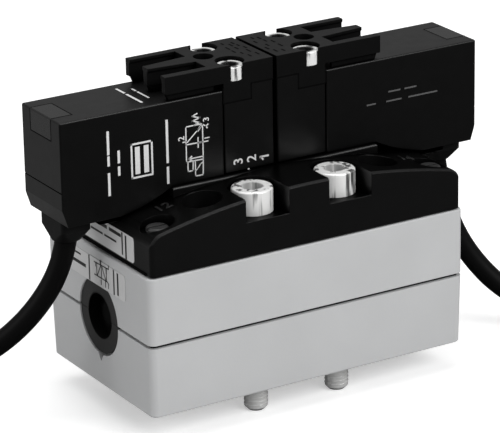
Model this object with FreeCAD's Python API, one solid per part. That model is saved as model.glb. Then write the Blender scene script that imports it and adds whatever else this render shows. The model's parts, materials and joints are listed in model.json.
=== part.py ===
import FreeCAD
import Part
import math
import os

# Double-solenoid directional control valve for a sub-base.
# Two grey body halves hold the spool cartridge, a black plate on top carries the two pilots,
# and four long screws clamp the valve to the surface under it.
# Millimetres. X runs along the spool, Y away from the front, Z up.
# The origin is under the middle of the valve, level with the tips of the four mounting screws.

V = FreeCAD.Vector

# Valve body
BODY_L = 74.6
BODY_W = 42.8
BODY_CORNER = 1.5
EDGE_BREAK = 0.4
LOWER_H = 14.9
LOWER_DRAFT = 0.3
UPPER_H = 14.05
BODY_GASKET_T = 0.7
PLATE_GASKET_T = 0.3
GASKET_INSET = 0.8

# Mounting screws, hexagon socket head
SCREW_R = 2.5
SCREW_THREAD_R = 2.4
SCREW_HOLE_R = 2.75
SCREW_PITCH_X = 19.5
SCREW_PITCH_Y = 30.5
SCREW_HEAD_R = 4.25
SCREW_HEAD_H = 5.0
SCREW_SOCKET = 4.0
SCREW_SOCKET_DEPTH = 2.6
SCREW_REACH = 6.0
TIP_CHAMFER = 0.7

# Pilot plate with an arched top
PLATE_SETBACK = 0.75
PLATE_SIDE_SETBACK = 0.1
PLATE_H = 12.75
PLATE_CORNER = 1.0
ARCH_R = 150.0
END_ROUND = 3.2
PAD_L = 48.6
PAD_W = 18.0
PAD_RISE = 0.05
PAD_EDGE = 0.6
POCKET_R = 5.05
POCKET_DEPTH = 5.55
PLATE_SCREW_X = 20.75
PLATE_SCREW_Y = 14.2
PLATE_RECESS_R = 4.2
PLATE_RECESS_DEPTH = 9.1
PLATE_SCREW_R = 1.95
PLATE_SCREW_HOLE_R = 2.05
PLATE_SCREW_HEAD_R = 3.6
PLATE_SCREW_HEAD_H = 2.6
PLATE_SCREW_LENGTH = 14.0
CROSS_W = 1.0

# Manual overrides in the front corners of the plate
OVERRIDE_FROM_END = 4.35
OVERRIDE_FROM_FRONT = 5.0
OVERRIDE_RECESS_R = 3.5
OVERRIDE_FLOOR = 5.0
BUTTON_R = 2.35
BUTTON_CLEAR = 0.06
BUTTON_TOP = 4.1
BUTTON_FLANGE_R = 2.9
BUTTON_FLANGE_H = 1.0
BUTTON_CHAMBER_R = 2.98
BUTTON_STOP = 7.3
BUTTON_TRAVEL = 1.5
BUTTON_SLOT_W = 0.7
BUTTON_SPRING_R = 2.1
BUTTON_SPRING_WIRE = 0.25
BUTTON_SPRING_TURNS = 4.0

# Spool cartridge, its axis in the split between the halves
BORE_R = 8.0
SEAT = 0.05
SLEEVE_L = 52.0
SLEEVE_BORE_R = 4.5
WINDOW_R = 5.3
SPOOL_CLEAR = 0.04
PORT_PITCH = 9.0
PORT_GROOVE_W = 4.6
PORT_GROOVE_DEPTH = 1.5
RADIAL_HOLE_R = 1.6
SEAL_R = 0.95
SEAL_GROOVE_W = 2.1
CENTRE_LAND_L = 7.0
END_LAND_FROM = 14.5
END_LAND_TO = 24.5
SPOOL_NECK_R = 2.8
SPOOL_STROKE = 4.0
PISTON_FROM = 28.4
PISTON_H = 2.2
PISTON_R = 6.0
PISTON_STUB_R = 1.8
STUB_CLEAR = 0.03
LIP_R = 0.6
LIP_REACH = 0.12
CHAMBER_R = 6.2
PLUG_H = 1.6
PLUG_CLEAR = 0.05
PLUG_PLAY = 0.2
EYE_R = 4.65
EYE_STEP = 0.2
BUSH_RECESS = 0.3
BUSH_SPLIT = 0.1
NOTCH_W = 3.6
NOTCH_H = 2.0
NOTCH_DEPTH = 3.0
RELIEF = 0.4
RELIEF_DEPTH = 1.2

# Ports in the bottom face, and the seal round them
PORT_W = 5.6
PORT_L = 9.0
PILOT_PORT_R = 1.5
FACE_SEAL_L = 68.0
FACE_SEAL_W = 21.0
FACE_SEAL_CORNER = 4.0
FACE_SEAL_T = 1.4
FACE_SEAL_PROUD = 0.2
FACE_SEAL_CLEAR = 0.1
FACE_SEAL_RIM = 0.5

# Pilot valves, alike, turned half round about the middle
PILOT_MID_X = 0.4
PILOT_GAP = 0.9
PILOT_W = 16.0
PILOT_GASKET_T = 0.3
PILOT_GASKET_INSET = 0.6
BASE_TO = 12.0
BASE_TOP = 18.1
SEAM = 0.15
PILOT_EDGE = 0.35
HOUSING_OVERHANG = 11.75
HOUSING_TOP = 17.75
HOUSING_DROP = 4.05
HOUSING_STEP_U = 24.2
HOUSING_LOW_U = 36.2
HOUSING_BULGE = -0.55
TOE_X = 1.15
TOE_H = 3.6
PART_LINE_Z = 3.5
PART_LINE_W = 0.25
TAB_FROM = 5.6
TAB_DROP = 3.2
TAB_T = 1.5

# Clamp caps with three fingers over the coil housing
CAP_H = 4.6
CAP_GAP = 0.12
CAP_BLOCK_TO = 14.9
FINGER_TO = 25.3
FINGER_LIFT = 0.95
FINGER_SIDE_W = 1.75
FINGER_ROOT_W = 4.2
FINGER_TIP_W = 2.1
LIP_T = 0.6
LIP_UNDER = 0.35
FINGER_END_R = 0.2
FOOT_INSET = 0.6
FOOT_FROM_TIP = 0.3
FOOT_SLOPE = 0.7
CAP_SCREW_U = 8.9
CAP_SCREW_Y = 5.3
CAP_SCREW_R = 1.5
CAP_SCREW_HOLE_R = 1.62
CAP_SCREW_HEAD_R = 2.75
CAP_SCREW_HEAD_H = 2.8
CAP_COUNTERBORE_R = 3.0
CAP_COUNTERBORE_DEPTH = 3.55
CAP_SCREW_BITE = 6.0
CAP_SCREW_SOCKET = 2.5
CAP_SCREW_SOCKET_DEPTH = 1.6
CAP_HOLE_U = 11.9
CAP_HOLE_R = 2.1
CAP_HOLE_DEPTH = 3.0

# Solenoid inside each coil housing, its axis along X
COIL_AXIS_UP = 8.7
CAVITY_R = 6.8
CAVITY_TO = 40.0
BOBBIN_FROM = 13.2
BOBBIN_TO = 37.0
BOBBIN_FLANGE = 1.2
BOBBIN_WALL = 0.7
WINDING_CLEAR = 0.05
ARMATURE_R = 3.5
ARMATURE_CLEAR = 0.08
ARMATURE_TO = 26.0
ARMATURE_TRAVEL = 0.8
ARMATURE_AIR = 0.9
TIP_R = 2.2
NOZZLE_FROM = 6.0
NOZZLE_TO = 8.0
NOZZLE_R = 1.6
NOZZLE_HOLE_R = 0.5
VALVE_CAVITY_R = 4.2
CORE_FLANGE_R = 6.6
CORE_FLANGE_T = 1.6
SPRING_POCKET_R = 2.1
SPRING_POCKET_DEPTH = 6.0
ARMATURE_SPRING_R = 1.7
ARMATURE_SPRING_WIRE = 0.22
ARMATURE_SPRING_TURNS = 6.0

# Signal window that wraps the outer top edge of each housing
LENS_L = 4.8
LENS_W = 8.6
LENS_DROP = 4.6
LENS_T = 1.0
LENS_CLEAR = 0.1

# Cable grip under each housing
GRIP_FROM_OUTER = 4.75
GRIP_TOP_L = 6.6
GRIP_TOP_W = 9.4
GRIP_TOP_CORNER = 0.8
GRIP_FOOT = 6.0
GRIP_H = 5.2
GRIP_NECK_H = 2.6
GRIP_LEAN = 0.178
CABLE_IN = 4.0
CABLE_OUT = 1.6

# Cables: the shown stretch, then a put-away hank on the floor, held by a tie.
# Two lanes of the hank lie side by side and a third lies in the groove between them.
CABLE_D = 4.5
CORD_PITCH = 4.6
TOP_LANE_R = 15.75
HANK_RUN = 36.0
LEFT_FOLD_X = 90.0
RIGHT_FOLD_X = 88.5
TIE_T = 0.6
TIE_W = 3.0
CORE_R = 0.6
CORE_L = 17.0
CORE_FAN = 0.12
FERRULE_R = 0.8
FERRULE_L = 6.0
FERRULE_CLEAR = 0.05

# Self-adhesive labels on the left end
LABEL_T = 0.1
LABEL_CORNER = 0.8
PLATE_LABEL_FRONT_MARGIN = 6.8
PLATE_LABEL_BACK_MARGIN = 5.3
PLATE_LABEL_FROM = 0.95
PLATE_LABEL_H = 5.4
BODY_LABEL_W = 23.6
BODY_LABEL_FROM = 6.75
BODY_LABEL_H = 5.6

# Levels, from the screw tips up
FACE_Z = SCREW_REACH
SPLIT_LOW = FACE_Z + LOWER_H
SPLIT_HIGH = SPLIT_LOW + BODY_GASKET_T
AXIS_Z = SPLIT_LOW + BODY_GASKET_T / 2
UPPER_TOP = SPLIT_HIGH + UPPER_H
PLATE_Z = UPPER_TOP + PLATE_GASKET_T
CREST_Z = PLATE_Z + PLATE_H
PAD_Z = CREST_Z + PAD_RISE
POCKET_Z = CREST_Z - POCKET_DEPTH
HEAD_TOP = POCKET_Z + SCREW_HEAD_H
PLATE_RECESS_Z = CREST_Z - PLATE_RECESS_DEPTH
OVERRIDE_FLOOR_Z = CREST_Z - OVERRIDE_FLOOR
BUTTON_TOP_Z = CREST_Z - BUTTON_TOP
BUTTON_STOP_Z = CREST_Z - BUTTON_STOP
BASE_Z = PAD_Z + PILOT_GASKET_T
HOUSING_TOP_Z = PAD_Z + HOUSING_TOP
HOUSING_LOW_Z = PAD_Z - HOUSING_DROP
BASE_TOP_Z = PAD_Z + BASE_TOP
CAP_Z = BASE_TOP_Z + CAP_GAP
CAP_TOP_Z = CAP_Z + CAP_H
FINGER_Z = CAP_Z + FINGER_LIFT
COIL_Z = PAD_Z + COIL_AXIS_UP
GRIP_Z = HOUSING_LOW_Z - GRIP_H
FLOOR_LANE_Z = CABLE_D / 2 + TIE_T
TOP_LANE_Z = FLOOR_LANE_Z + CORD_PITCH * math.sqrt(3) / 2
FERRULE_END_Z = FLOOR_LANE_Z + CABLE_D / 2 + FERRULE_R + FERRULE_CLEAR

# Places along the spool, from the middle outwards
STATIONS = [i * PORT_PITCH for i in (-2, -1, 0, 1, 2)]
SEAL_STATIONS = [(i + 0.5) * PORT_PITCH for i in (-3, -2, -1, 0, 1, 2)]
SLEEVE_END = SLEEVE_L / 2
BUSH_FROM = SLEEVE_END + BUSH_SPLIT
BUSH_TO = BODY_L / 2 - BUSH_RECESS
PISTON_TO = PISTON_FROM + PISTON_H
PLUG_FROM = PISTON_TO + SPOOL_STROKE / 2 + PLUG_PLAY
PLUG_TO = PLUG_FROM + PLUG_H
PILOT_PORT_X = (SLEEVE_END + PLUG_FROM) / 2
PILOT_FROM = PILOT_GAP / 2

# Sizes and places that follow the body's outline
PLATE_L = BODY_L - 2 * PLATE_SETBACK
HOUSING_TO = BODY_L / 2 + HOUSING_OVERHANG
GRIP_U = HOUSING_TO - GRIP_FROM_OUTER
PLATE_W = BODY_W - 2 * PLATE_SIDE_SETBACK
OVERRIDE_X = PLATE_L / 2 - OVERRIDE_FROM_END
OVERRIDE_Y = OVERRIDE_FROM_FRONT - PLATE_W / 2
PLATE_LABEL_Y = (PLATE_LABEL_FRONT_MARGIN - PLATE_W / 2, PLATE_W / 2 - PLATE_LABEL_BACK_MARGIN)

# Places of the fasteners
SCREW_SPOTS = [(sx * SCREW_PITCH_X / 2, sy * SCREW_PITCH_Y / 2) for sx in (-1, 1) for sy in (-1, 1)]
PLATE_SCREW_SPOTS = [(sx * PLATE_SCREW_X, sy * PLATE_SCREW_Y) for sx in (-1, 1) for sy in (-1, 1)]
CAP_SCREW_SPOTS = [
    (PILOT_MID_X + sx * CAP_SCREW_U, sy * CAP_SCREW_Y) for sx in (-1, 1) for sy in (-1, 1)
]

# The hank's lanes in a fold, as radius and height, counter-clockwise
OUTER_LANE_R = TOP_LANE_R + CORD_PITCH / 2
INNER_LANE_R = TOP_LANE_R - CORD_PITCH / 2
FLOOR_LANES = [(INNER_LANE_R, FLOOR_LANE_Z), (OUTER_LANE_R, FLOOR_LANE_Z)]
ALL_LANES = FLOOR_LANES + [(TOP_LANE_R, TOP_LANE_Z)]


# Routes of the cables, from the grip to the hank, chosen by hand
def exit_run(side):
    """The first run of a cable, leaning outwards through its grip."""
    foot = PILOT_MID_X + side * GRIP_U
    return [
        V(foot - side * CABLE_IN * GRIP_LEAN, 0, GRIP_Z + CABLE_IN),
        V(foot + side * CABLE_OUT * GRIP_LEAN, 0, GRIP_Z - CABLE_OUT),
    ]


LEFT_ROUTE = exit_run(-1) + [
    V(-45.9, 0.5, 32.3),
    V(-48.2, 1.8, 27.2),
    V(-51.5, 3.3, 22.5),
    V(-55.2, 5.7, 18.2),
    V(-59.7, 8.3, 14.7),
    V(-64.3, 11.1, 11.3),
    V(-68.8, 13.9, 7.9),
    V(-74.0, 16.1, 5.4),
    V(-79.5, 17.5, 3.8),
    V(-84.9, OUTER_LANE_R, FLOOR_LANE_Z),
    V(-LEFT_FOLD_X, OUTER_LANE_R, FLOOR_LANE_Z),
]
RIGHT_ROUTE = exit_run(1) + [
    V(45.8, -0.2, 32.1),
    V(47.3, -1.0, 26.3),
    V(49.3, -2.4, 20.6),
    V(52.3, -4.4, 15.2),
    V(55.9, -6.8, 10.5),
    V(60.2, -9.4, 6.9),
    V(65.2, -12.0, 4.6),
    V(70.9, -14.6, 3.4),
    V(76.7, -16.8, 3.1),
    V(82.6, -OUTER_LANE_R, FLOOR_LANE_Z),
    V(RIGHT_FOLD_X, -OUTER_LANE_R, FLOOR_LANE_Z),
]


def box(x0, x1, y0, y1, z0, z1):
    return Part.makeBox(x1 - x0, y1 - y0, z1 - z0, V(x0, y0, z0))


def post(x, y, z0, z1, r):
    return Part.makeCylinder(r, z1 - z0, V(x, y, z0))


def bar(x0, x1, y, z, r):
    return Part.makeCylinder(r, x1 - x0, V(x0, y, z), V(1, 0, 0))


def fused(shapes):
    first = shapes[0]
    return first.fuse(shapes[1:]).removeSplitter() if len(shapes) > 1 else first


def less(shape, tools):
    return shape.cut(tools)


def group(shapes):
    return Part.makeCompound(shapes)


def rounded_wire(length, width, r, z, x=0.0, y=0.0):
    """A closed rectangle with round corners, flat at height z."""
    a = length / 2
    b = width / 2
    corners = [(a, b, 0), (-a, b, 90), (-a, -b, 180), (a, -b, 270)]
    edges = []
    ends = []
    for cx, cy, turn in corners:
        mx = x + cx - math.copysign(r, cx)
        my = y + cy - math.copysign(r, cy)
        points = [
            V(mx + r * math.cos(math.radians(turn + d)), my + r * math.sin(math.radians(turn + d)), z)
            for d in (0, 45, 90)
        ]
        ends.append(points)
    for i, points in enumerate(ends):
        edges.append(Part.Arc(*points).toShape())
        edges.append(Part.LineSegment(points[2], ends[(i + 1) % 4][0]).toShape())
    return Part.Wire(edges)


def rounded_block(length, width, r, z0, z1, x=0.0, y=0.0):
    face = Part.Face(rounded_wire(length, width, r, z0, x, y))
    return face.extrude(V(0, 0, z1 - z0))


def edges_at(shape, test):
    """The edges whose middle passes the test."""
    return [e for e in shape.Edges if test(e.CenterOfMass)]


def near(a, b):
    return abs(a - b) < 0.01


def hexagon(x, y, z0, z1, across):
    """A six-sided prism, its size given across the flats."""
    r = across / math.sqrt(3)
    points = [
        V(x + r * math.cos(math.radians(60 * i)), y + r * math.sin(math.radians(60 * i)), z0)
        for i in range(7)
    ]
    return Part.Face(Part.makePolygon(points)).extrude(V(0, 0, z1 - z0))


def spring(base, axis, length, r, wire, turns):
    """A coil spring between two flats, its wire a little inside each end."""
    pitch = (length - 2 * wire) / turns
    helix = Part.makeHelix(pitch, length - 2 * wire, r)
    profile = Part.Wire(Part.Circle(V(r, 0, 0), V(0, 1, pitch / (2 * math.pi * r)), wire).toShape())
    coil = Part.Wire(helix).makePipeShell([profile], True, True)
    coil.translate(V(0, 0, wire))
    coil.Placement = FreeCAD.Placement(base, FreeCAD.Rotation(V(0, 0, 1), axis)).multiply(coil.Placement)
    return coil


def half_turned(shape):
    """The same shape, turned half round about the upright line between the pilots."""
    copy = shape.copy()
    copy.rotate(V(PILOT_MID_X, 0, 0), V(0, 0, 1), 180)
    return copy


def lower_body():
    sides = [
        rounded_wire(BODY_L - 2 * LOWER_DRAFT, BODY_W - 2 * LOWER_DRAFT, BODY_CORNER, FACE_Z),
        rounded_wire(BODY_L, BODY_W, BODY_CORNER, SPLIT_LOW),
    ]
    body = Part.makeLoft(sides, True, True)
    body = body.makeFillet(EDGE_BREAK, edges_at(body, lambda c: near(c.z, FACE_Z)))
    tools = [bar(-BODY_L, BODY_L, 0, AXIS_Z, BORE_R)]
    tools += [post(x, y, 0, UPPER_TOP, SCREW_HOLE_R) for x, y in SCREW_SPOTS]
    seal_pocket = rounded_block(
        FACE_SEAL_L + 2 * FACE_SEAL_CLEAR,
        FACE_SEAL_W + 2 * FACE_SEAL_CLEAR,
        FACE_SEAL_CORNER + FACE_SEAL_CLEAR,
        0,
        FACE_Z + FACE_SEAL_T - FACE_SEAL_PROUD,
    )
    tools.append(seal_pocket)
    tools += port_cutters(0.0, AXIS_Z)
    for side in (-1, 1):
        tools.append(end_notch(side))
        reach = sorted((side * (BODY_L / 2 - RELIEF_DEPTH), side * BODY_L))
        tools.append(bar(reach[0], reach[1], 0, AXIS_Z - RELIEF, BORE_R))
    return less(body, tools)


def port_cutters(extra, top):
    """The five port slots and two pilot ports, each grown by extra, from below the face to top."""
    cutters = [
        rounded_block(PORT_W + 2 * extra, PORT_L + 2 * extra, (PORT_W / 2 + extra) * 0.999, 0, top, x)
        for x in STATIONS
    ]
    cutters += [post(side * PILOT_PORT_X, 0, 0, top, PILOT_PORT_R + extra) for side in (-1, 1)]
    return cutters


def end_notch(side):
    """The small pointed notch under the bush at an end."""
    x = side * BODY_L / 2
    bottom = AXIS_Z - BORE_R
    points = [
        V(x - side * NOTCH_DEPTH, -NOTCH_W / 2, bottom + NOTCH_W / 4),
        V(x - side * NOTCH_DEPTH, NOTCH_W / 2, bottom + NOTCH_W / 4),
        V(x - side * NOTCH_DEPTH, 0, bottom - NOTCH_H),
        V(x - side * NOTCH_DEPTH, -NOTCH_W / 2, bottom + NOTCH_W / 4),
    ]
    return Part.Face(Part.makePolygon(points)).extrude(V(side * 2 * NOTCH_DEPTH, 0, 0))


def upper_body():
    body = rounded_block(BODY_L, BODY_W, BODY_CORNER, SPLIT_HIGH, UPPER_TOP)
    body = body.makeFillet(EDGE_BREAK, edges_at(body, lambda c: near(c.z, UPPER_TOP)))
    tools = [bar(-BODY_L, BODY_L, 0, AXIS_Z, BORE_R)]
    tools += [post(x, y, 0, CREST_Z, SCREW_HOLE_R) for x, y in SCREW_SPOTS]
    tools += [
        post(x, y, PLATE_RECESS_Z - PLATE_SCREW_LENGTH - 1, CREST_Z, PLATE_SCREW_HOLE_R)
        for x, y in PLATE_SCREW_SPOTS
    ]
    tools += [post(side * PILOT_PORT_X, 0, AXIS_Z, CREST_Z, PILOT_PORT_R) for side in (-1, 1)]
    return less(body, tools)


def body_gaskets():
    """One flat strip in front of the spool and one behind it."""
    sheet = rounded_block(
        BODY_L - 2 * GASKET_INSET,
        BODY_W - 2 * GASKET_INSET,
        BODY_CORNER - GASKET_INSET,
        SPLIT_LOW,
        SPLIT_HIGH,
    )
    tools = [box(-BODY_L, BODY_L, -BORE_R - SEAT, BORE_R + SEAT, 0, UPPER_TOP)]
    tools += [post(x, y, 0, UPPER_TOP, SCREW_HOLE_R + SEAT) for x, y in SCREW_SPOTS]
    return less(sheet, tools)


def face_seal():
    seal = rounded_block(
        FACE_SEAL_L,
        FACE_SEAL_W,
        FACE_SEAL_CORNER,
        FACE_Z - FACE_SEAL_PROUD,
        FACE_Z - FACE_SEAL_PROUD + FACE_SEAL_T,
    )
    return less(seal, port_cutters(FACE_SEAL_RIM, AXIS_Z))


def plate_gasket():
    sheet = rounded_block(
        PLATE_L - 2 * GASKET_INSET, PLATE_W - 2 * GASKET_INSET, PLATE_CORNER, UPPER_TOP, PLATE_Z
    )
    tools = [post(x, y, 0, CREST_Z, SCREW_HOLE_R + SEAT) for x, y in SCREW_SPOTS]
    tools += [post(x, y, 0, CREST_Z, PLATE_SCREW_HOLE_R + SEAT) for x, y in PLATE_SCREW_SPOTS]
    tools += [post(side * OVERRIDE_X, OVERRIDE_Y, 0, CREST_Z, BUTTON_CHAMBER_R) for side in (-1, 1)]
    tools += [post(side * PILOT_PORT_X, 0, 0, CREST_Z, PILOT_PORT_R) for side in (-1, 1)]
    return less(sheet, tools)


def arch_z(x):
    """Height of the arched top of the plate."""
    return CREST_Z - ARCH_R + math.sqrt(ARCH_R ** 2 - x ** 2)


def screw_pocket(x, y):
    """The cut round a mounting screw's head, open to the nearer long side."""
    out = math.copysign(BODY_W, y)
    low = min(y, out)
    high = max(y, out)
    top = PAD_Z + 1
    return fused(
        [
            post(x, y, POCKET_Z, top, POCKET_R),
            box(x - POCKET_R, x + POCKET_R, low, high, POCKET_Z, top),
        ]
    )


def pilot_plate():
    half_l = PLATE_L / 2
    half_w = PLATE_W / 2
    blank = box(-half_l, half_l, -half_w, half_w, PLATE_Z, CREST_Z + 1)
    drum = Part.makeCylinder(ARCH_R, 2 * BODY_W, V(0, -BODY_W, CREST_Z - ARCH_R), V(0, 1, 0))
    plate = blank.common(drum)
    ends = edges_at(plate, lambda c: near(abs(c.x), half_l) and near(c.y, 0) and c.z > UPPER_TOP + 2)
    plate = plate.makeFillet(END_ROUND, ends)
    sides = edges_at(plate, lambda c: near(abs(c.y), half_w) and c.z > PLATE_Z + 1)
    plate = plate.makeChamfer(EDGE_BREAK, sides)
    plate = plate.common(rounded_block(PLATE_L, PLATE_W, PLATE_CORNER, PLATE_Z, CREST_Z + 1))
    pad = box(-PAD_L / 2, PAD_L / 2, -PAD_W / 2, PAD_W / 2, PLATE_Z + 1, PAD_Z)
    pad = pad.makeFillet(PAD_EDGE, edges_at(pad, lambda c: near(c.z, PAD_Z)))
    plate = fused([plate, pad])
    tools = [screw_pocket(x, y) for x, y in SCREW_SPOTS]
    tools += [post(x, y, 0, CREST_Z, SCREW_HOLE_R) for x, y in SCREW_SPOTS]
    tools += [post(x, y, PLATE_RECESS_Z, PAD_Z + 1, PLATE_RECESS_R) for x, y in PLATE_SCREW_SPOTS]
    tools += [post(x, y, 0, CREST_Z, PLATE_SCREW_HOLE_R) for x, y in PLATE_SCREW_SPOTS]
    tools += [
        post(x, y, PAD_Z - CAP_SCREW_BITE - 1, PAD_Z + 1, CAP_SCREW_R + SEAT) for x, y in CAP_SCREW_SPOTS
    ]
    for side in (-1, 1):
        x = side * OVERRIDE_X
        tools.append(post(x, OVERRIDE_Y, OVERRIDE_FLOOR_Z, PAD_Z, OVERRIDE_RECESS_R))
        tools.append(post(x, OVERRIDE_Y, 0, PAD_Z, BUTTON_R + BUTTON_CLEAR))
        tools.append(post(x, OVERRIDE_Y, 0, BUTTON_STOP_Z, BUTTON_CHAMBER_R))
    return less(plate, tools)


def mounting_screws():
    """Four long socket screws that clamp the valve down."""
    screws = []
    for x, y in SCREW_SPOTS:
        tip = post(x, y, 0, SCREW_REACH, SCREW_THREAD_R)
        tip = tip.makeChamfer(TIP_CHAMFER, edges_at(tip, lambda c: near(c.z, 0)))
        shank = post(x, y, SCREW_REACH, POCKET_Z, SCREW_R)
        head = post(x, y, POCKET_Z, HEAD_TOP, SCREW_HEAD_R)
        head = head.makeFillet(EDGE_BREAK, edges_at(head, lambda c: near(c.z, HEAD_TOP)))
        socket = hexagon(x, y, HEAD_TOP - SCREW_SOCKET_DEPTH, HEAD_TOP + 1, SCREW_SOCKET)
        screws.append(less(fused([tip, shank, head]), [socket]))
    return group(screws)


def plate_screws():
    """Four cross-recess screws, deep in the plate, that hold it to the upper body."""
    screws = []
    top = PLATE_RECESS_Z + PLATE_SCREW_HEAD_H
    for x, y in PLATE_SCREW_SPOTS:
        shank = post(x, y, PLATE_RECESS_Z - PLATE_SCREW_LENGTH, PLATE_RECESS_Z, PLATE_SCREW_R)
        head = post(x, y, PLATE_RECESS_Z, top, PLATE_SCREW_HEAD_R)
        head = head.makeFillet(PLATE_SCREW_HEAD_H / 3, edges_at(head, lambda c: near(c.z, top)))
        reach = PLATE_SCREW_HEAD_R * 0.6
        low = top - PLATE_SCREW_HEAD_H / 2
        cross = [
            box(x - reach, x + reach, y - CROSS_W / 2, y + CROSS_W / 2, low, top + 1),
            box(x - CROSS_W / 2, x + CROSS_W / 2, y - reach, y + reach, low, top + 1),
        ]
        screws.append(less(fused([shank, head]), cross))
    return group(screws)


def override_button(side):
    x = side * OVERRIDE_X
    stem = post(x, OVERRIDE_Y, BUTTON_STOP_Z - BUTTON_FLANGE_H / 2, BUTTON_TOP_Z, BUTTON_R)
    stem = stem.makeFillet(BUTTON_R / 4, edges_at(stem, lambda c: near(c.z, BUTTON_TOP_Z)))
    flange_top = BUTTON_STOP_Z - SEAT
    flange = post(x, OVERRIDE_Y, flange_top - BUTTON_FLANGE_H, flange_top, BUTTON_FLANGE_R)
    slot = box(
        x - BUTTON_R,
        x + BUTTON_R,
        OVERRIDE_Y - BUTTON_SLOT_W / 2,
        OVERRIDE_Y + BUTTON_SLOT_W / 2,
        BUTTON_TOP_Z - BUTTON_SLOT_W,
        BUTTON_TOP_Z + 1,
    )
    return less(fused([stem, flange]), [slot])


def override_spring(side):
    foot = UPPER_TOP
    length = BUTTON_STOP_Z - SEAT - BUTTON_FLANGE_H - foot
    return spring(
        V(side * OVERRIDE_X, OVERRIDE_Y, foot),
        V(0, 0, 1),
        length,
        BUTTON_SPRING_R,
        BUTTON_SPRING_WIRE,
        BUTTON_SPRING_TURNS,
    )


def spool_sleeve():
    """The fixed tube round the spool, with a groove and four holes at each port."""
    tube = bar(-SLEEVE_END, SLEEVE_END, 0, AXIS_Z, BORE_R - SEAT)
    tools = [bar(-BODY_L, BODY_L, 0, AXIS_Z, SLEEVE_BORE_R)]
    for x in STATIONS:
        tools.append(ring_cutter(x, PORT_GROOVE_W, BORE_R - SEAT - PORT_GROOVE_DEPTH))
        tools.append(bar(x - PORT_GROOVE_W / 2, x + PORT_GROOVE_W / 2, 0, AXIS_Z, WINDOW_R))
        tools.append(post(x, 0, AXIS_Z - BORE_R - 1, AXIS_Z + BORE_R + 1, RADIAL_HOLE_R))
        tools.append(
            Part.makeCylinder(RADIAL_HOLE_R, 2 * BORE_R + 2, V(x, -BORE_R - 1, AXIS_Z), V(0, 1, 0))
        )
    for x in SEAL_STATIONS:
        tools.append(ring_cutter(x, SEAL_GROOVE_W, BORE_R - SEAT - 2 * SEAL_R))
    return less(tube, tools)


def ring_cutter(x, width, inner_r):
    outer = bar(x - width / 2, x + width / 2, 0, AXIS_Z, BORE_R + 1)
    return less(outer, [bar(x - width, x + width, 0, AXIS_Z, inner_r)])


def sleeve_seals():
    rings = []
    for x in SEAL_STATIONS:
        rings.append(Part.makeTorus(BORE_R - SEAT - SEAL_R, SEAL_R, V(x, 0, AXIS_Z), V(1, 0, 0)))
    return group(rings)


def spool_x(u):
    """A place on the spool, which rests at the left end of its stroke."""
    return u - SPOOL_STROKE / 2


def spool():
    land_r = SLEEVE_BORE_R - SPOOL_CLEAR
    pieces = [bar(spool_x(-PISTON_FROM), spool_x(PISTON_FROM), 0, AXIS_Z, SPOOL_NECK_R)]
    pieces.append(bar(spool_x(-PISTON_TO), spool_x(PISTON_TO), 0, AXIS_Z, PISTON_STUB_R))
    pieces.append(bar(spool_x(-CENTRE_LAND_L / 2), spool_x(CENTRE_LAND_L / 2), 0, AXIS_Z, land_r))
    for side in (-1, 1):
        ends = sorted((side * END_LAND_FROM, side * END_LAND_TO))
        pieces.append(bar(spool_x(ends[0]), spool_x(ends[1]), 0, AXIS_Z, land_r))
    return fused(pieces)


def piston(side):
    ends = sorted((side * PISTON_FROM, side * PISTON_TO))
    disc = bar(spool_x(ends[0]), spool_x(ends[1]), 0, AXIS_Z, PISTON_R)
    middle = spool_x(side * (PISTON_FROM + PISTON_TO) / 2)
    lip = Part.makeTorus(PISTON_R + LIP_REACH - LIP_R, LIP_R + SEAT, V(middle, 0, AXIS_Z), V(1, 0, 0))
    hole = bar(spool_x(-BODY_L), spool_x(BODY_L), 0, AXIS_Z, PISTON_STUB_R + STUB_CLEAR)
    return less(disc, [lip, hole])


def piston_seals():
    rings = []
    for side in (-1, 1):
        middle = spool_x(side * (PISTON_FROM + PISTON_TO) / 2)
        rings.append(Part.makeTorus(PISTON_R + LIP_REACH - LIP_R, LIP_R, V(middle, 0, AXIS_Z), V(1, 0, 0)))
    return group(rings)


def bush_half(side, upper):
    """Half of the end bush: a piston chamber inside and a round eye to the outside."""
    ends = sorted((side * BUSH_FROM, side * BUSH_TO))
    block = bar(ends[0], ends[1], 0, AXIS_Z, BORE_R - SEAT)
    chamber = sorted((side * (BUSH_FROM - 1), side * PLUG_TO))
    eye_r = EYE_R if upper else EYE_R + EYE_STEP
    tools = [bar(chamber[0], chamber[1], 0, AXIS_Z, CHAMBER_R)]
    tools.append(bar(min(0, side * BODY_L), max(0, side * BODY_L), 0, AXIS_Z, eye_r))
    tools.append(post(side * PILOT_PORT_X, 0, AXIS_Z - BODY_W, AXIS_Z + BODY_W, PILOT_PORT_R))
    if upper:
        tools.append(box(-BODY_L, BODY_L, -BODY_W, BODY_W, 0, AXIS_Z + BUSH_SPLIT / 2))
    else:
        tools.append(box(-BODY_L, BODY_L, -BODY_W, BODY_W, AXIS_Z - BUSH_SPLIT / 2, CREST_Z))
    return less(block, tools)


def end_plug(side):
    """Closes the piston chamber behind the eye."""
    ends = sorted((side * PLUG_FROM, side * (PLUG_TO - PLUG_CLEAR)))
    disc = bar(ends[0], ends[1], 0, AXIS_Z, CHAMBER_R - PLUG_CLEAR)
    rim = edges_at(disc, lambda c: near(abs(c.x), PLUG_FROM))
    disc = disc.makeChamfer(EDGE_BREAK, rim)
    boss = sorted((side * (PLUG_TO - PLUG_H / 2), side * (PLUG_TO + PLUG_H / 2)))
    return fused([disc, bar(boss[0], boss[1], 0, AXIS_Z, EYE_R / 2)])


def pilot_x(u):
    """A place on the right pilot, counted outwards from between the two."""
    return PILOT_MID_X + u


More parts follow.
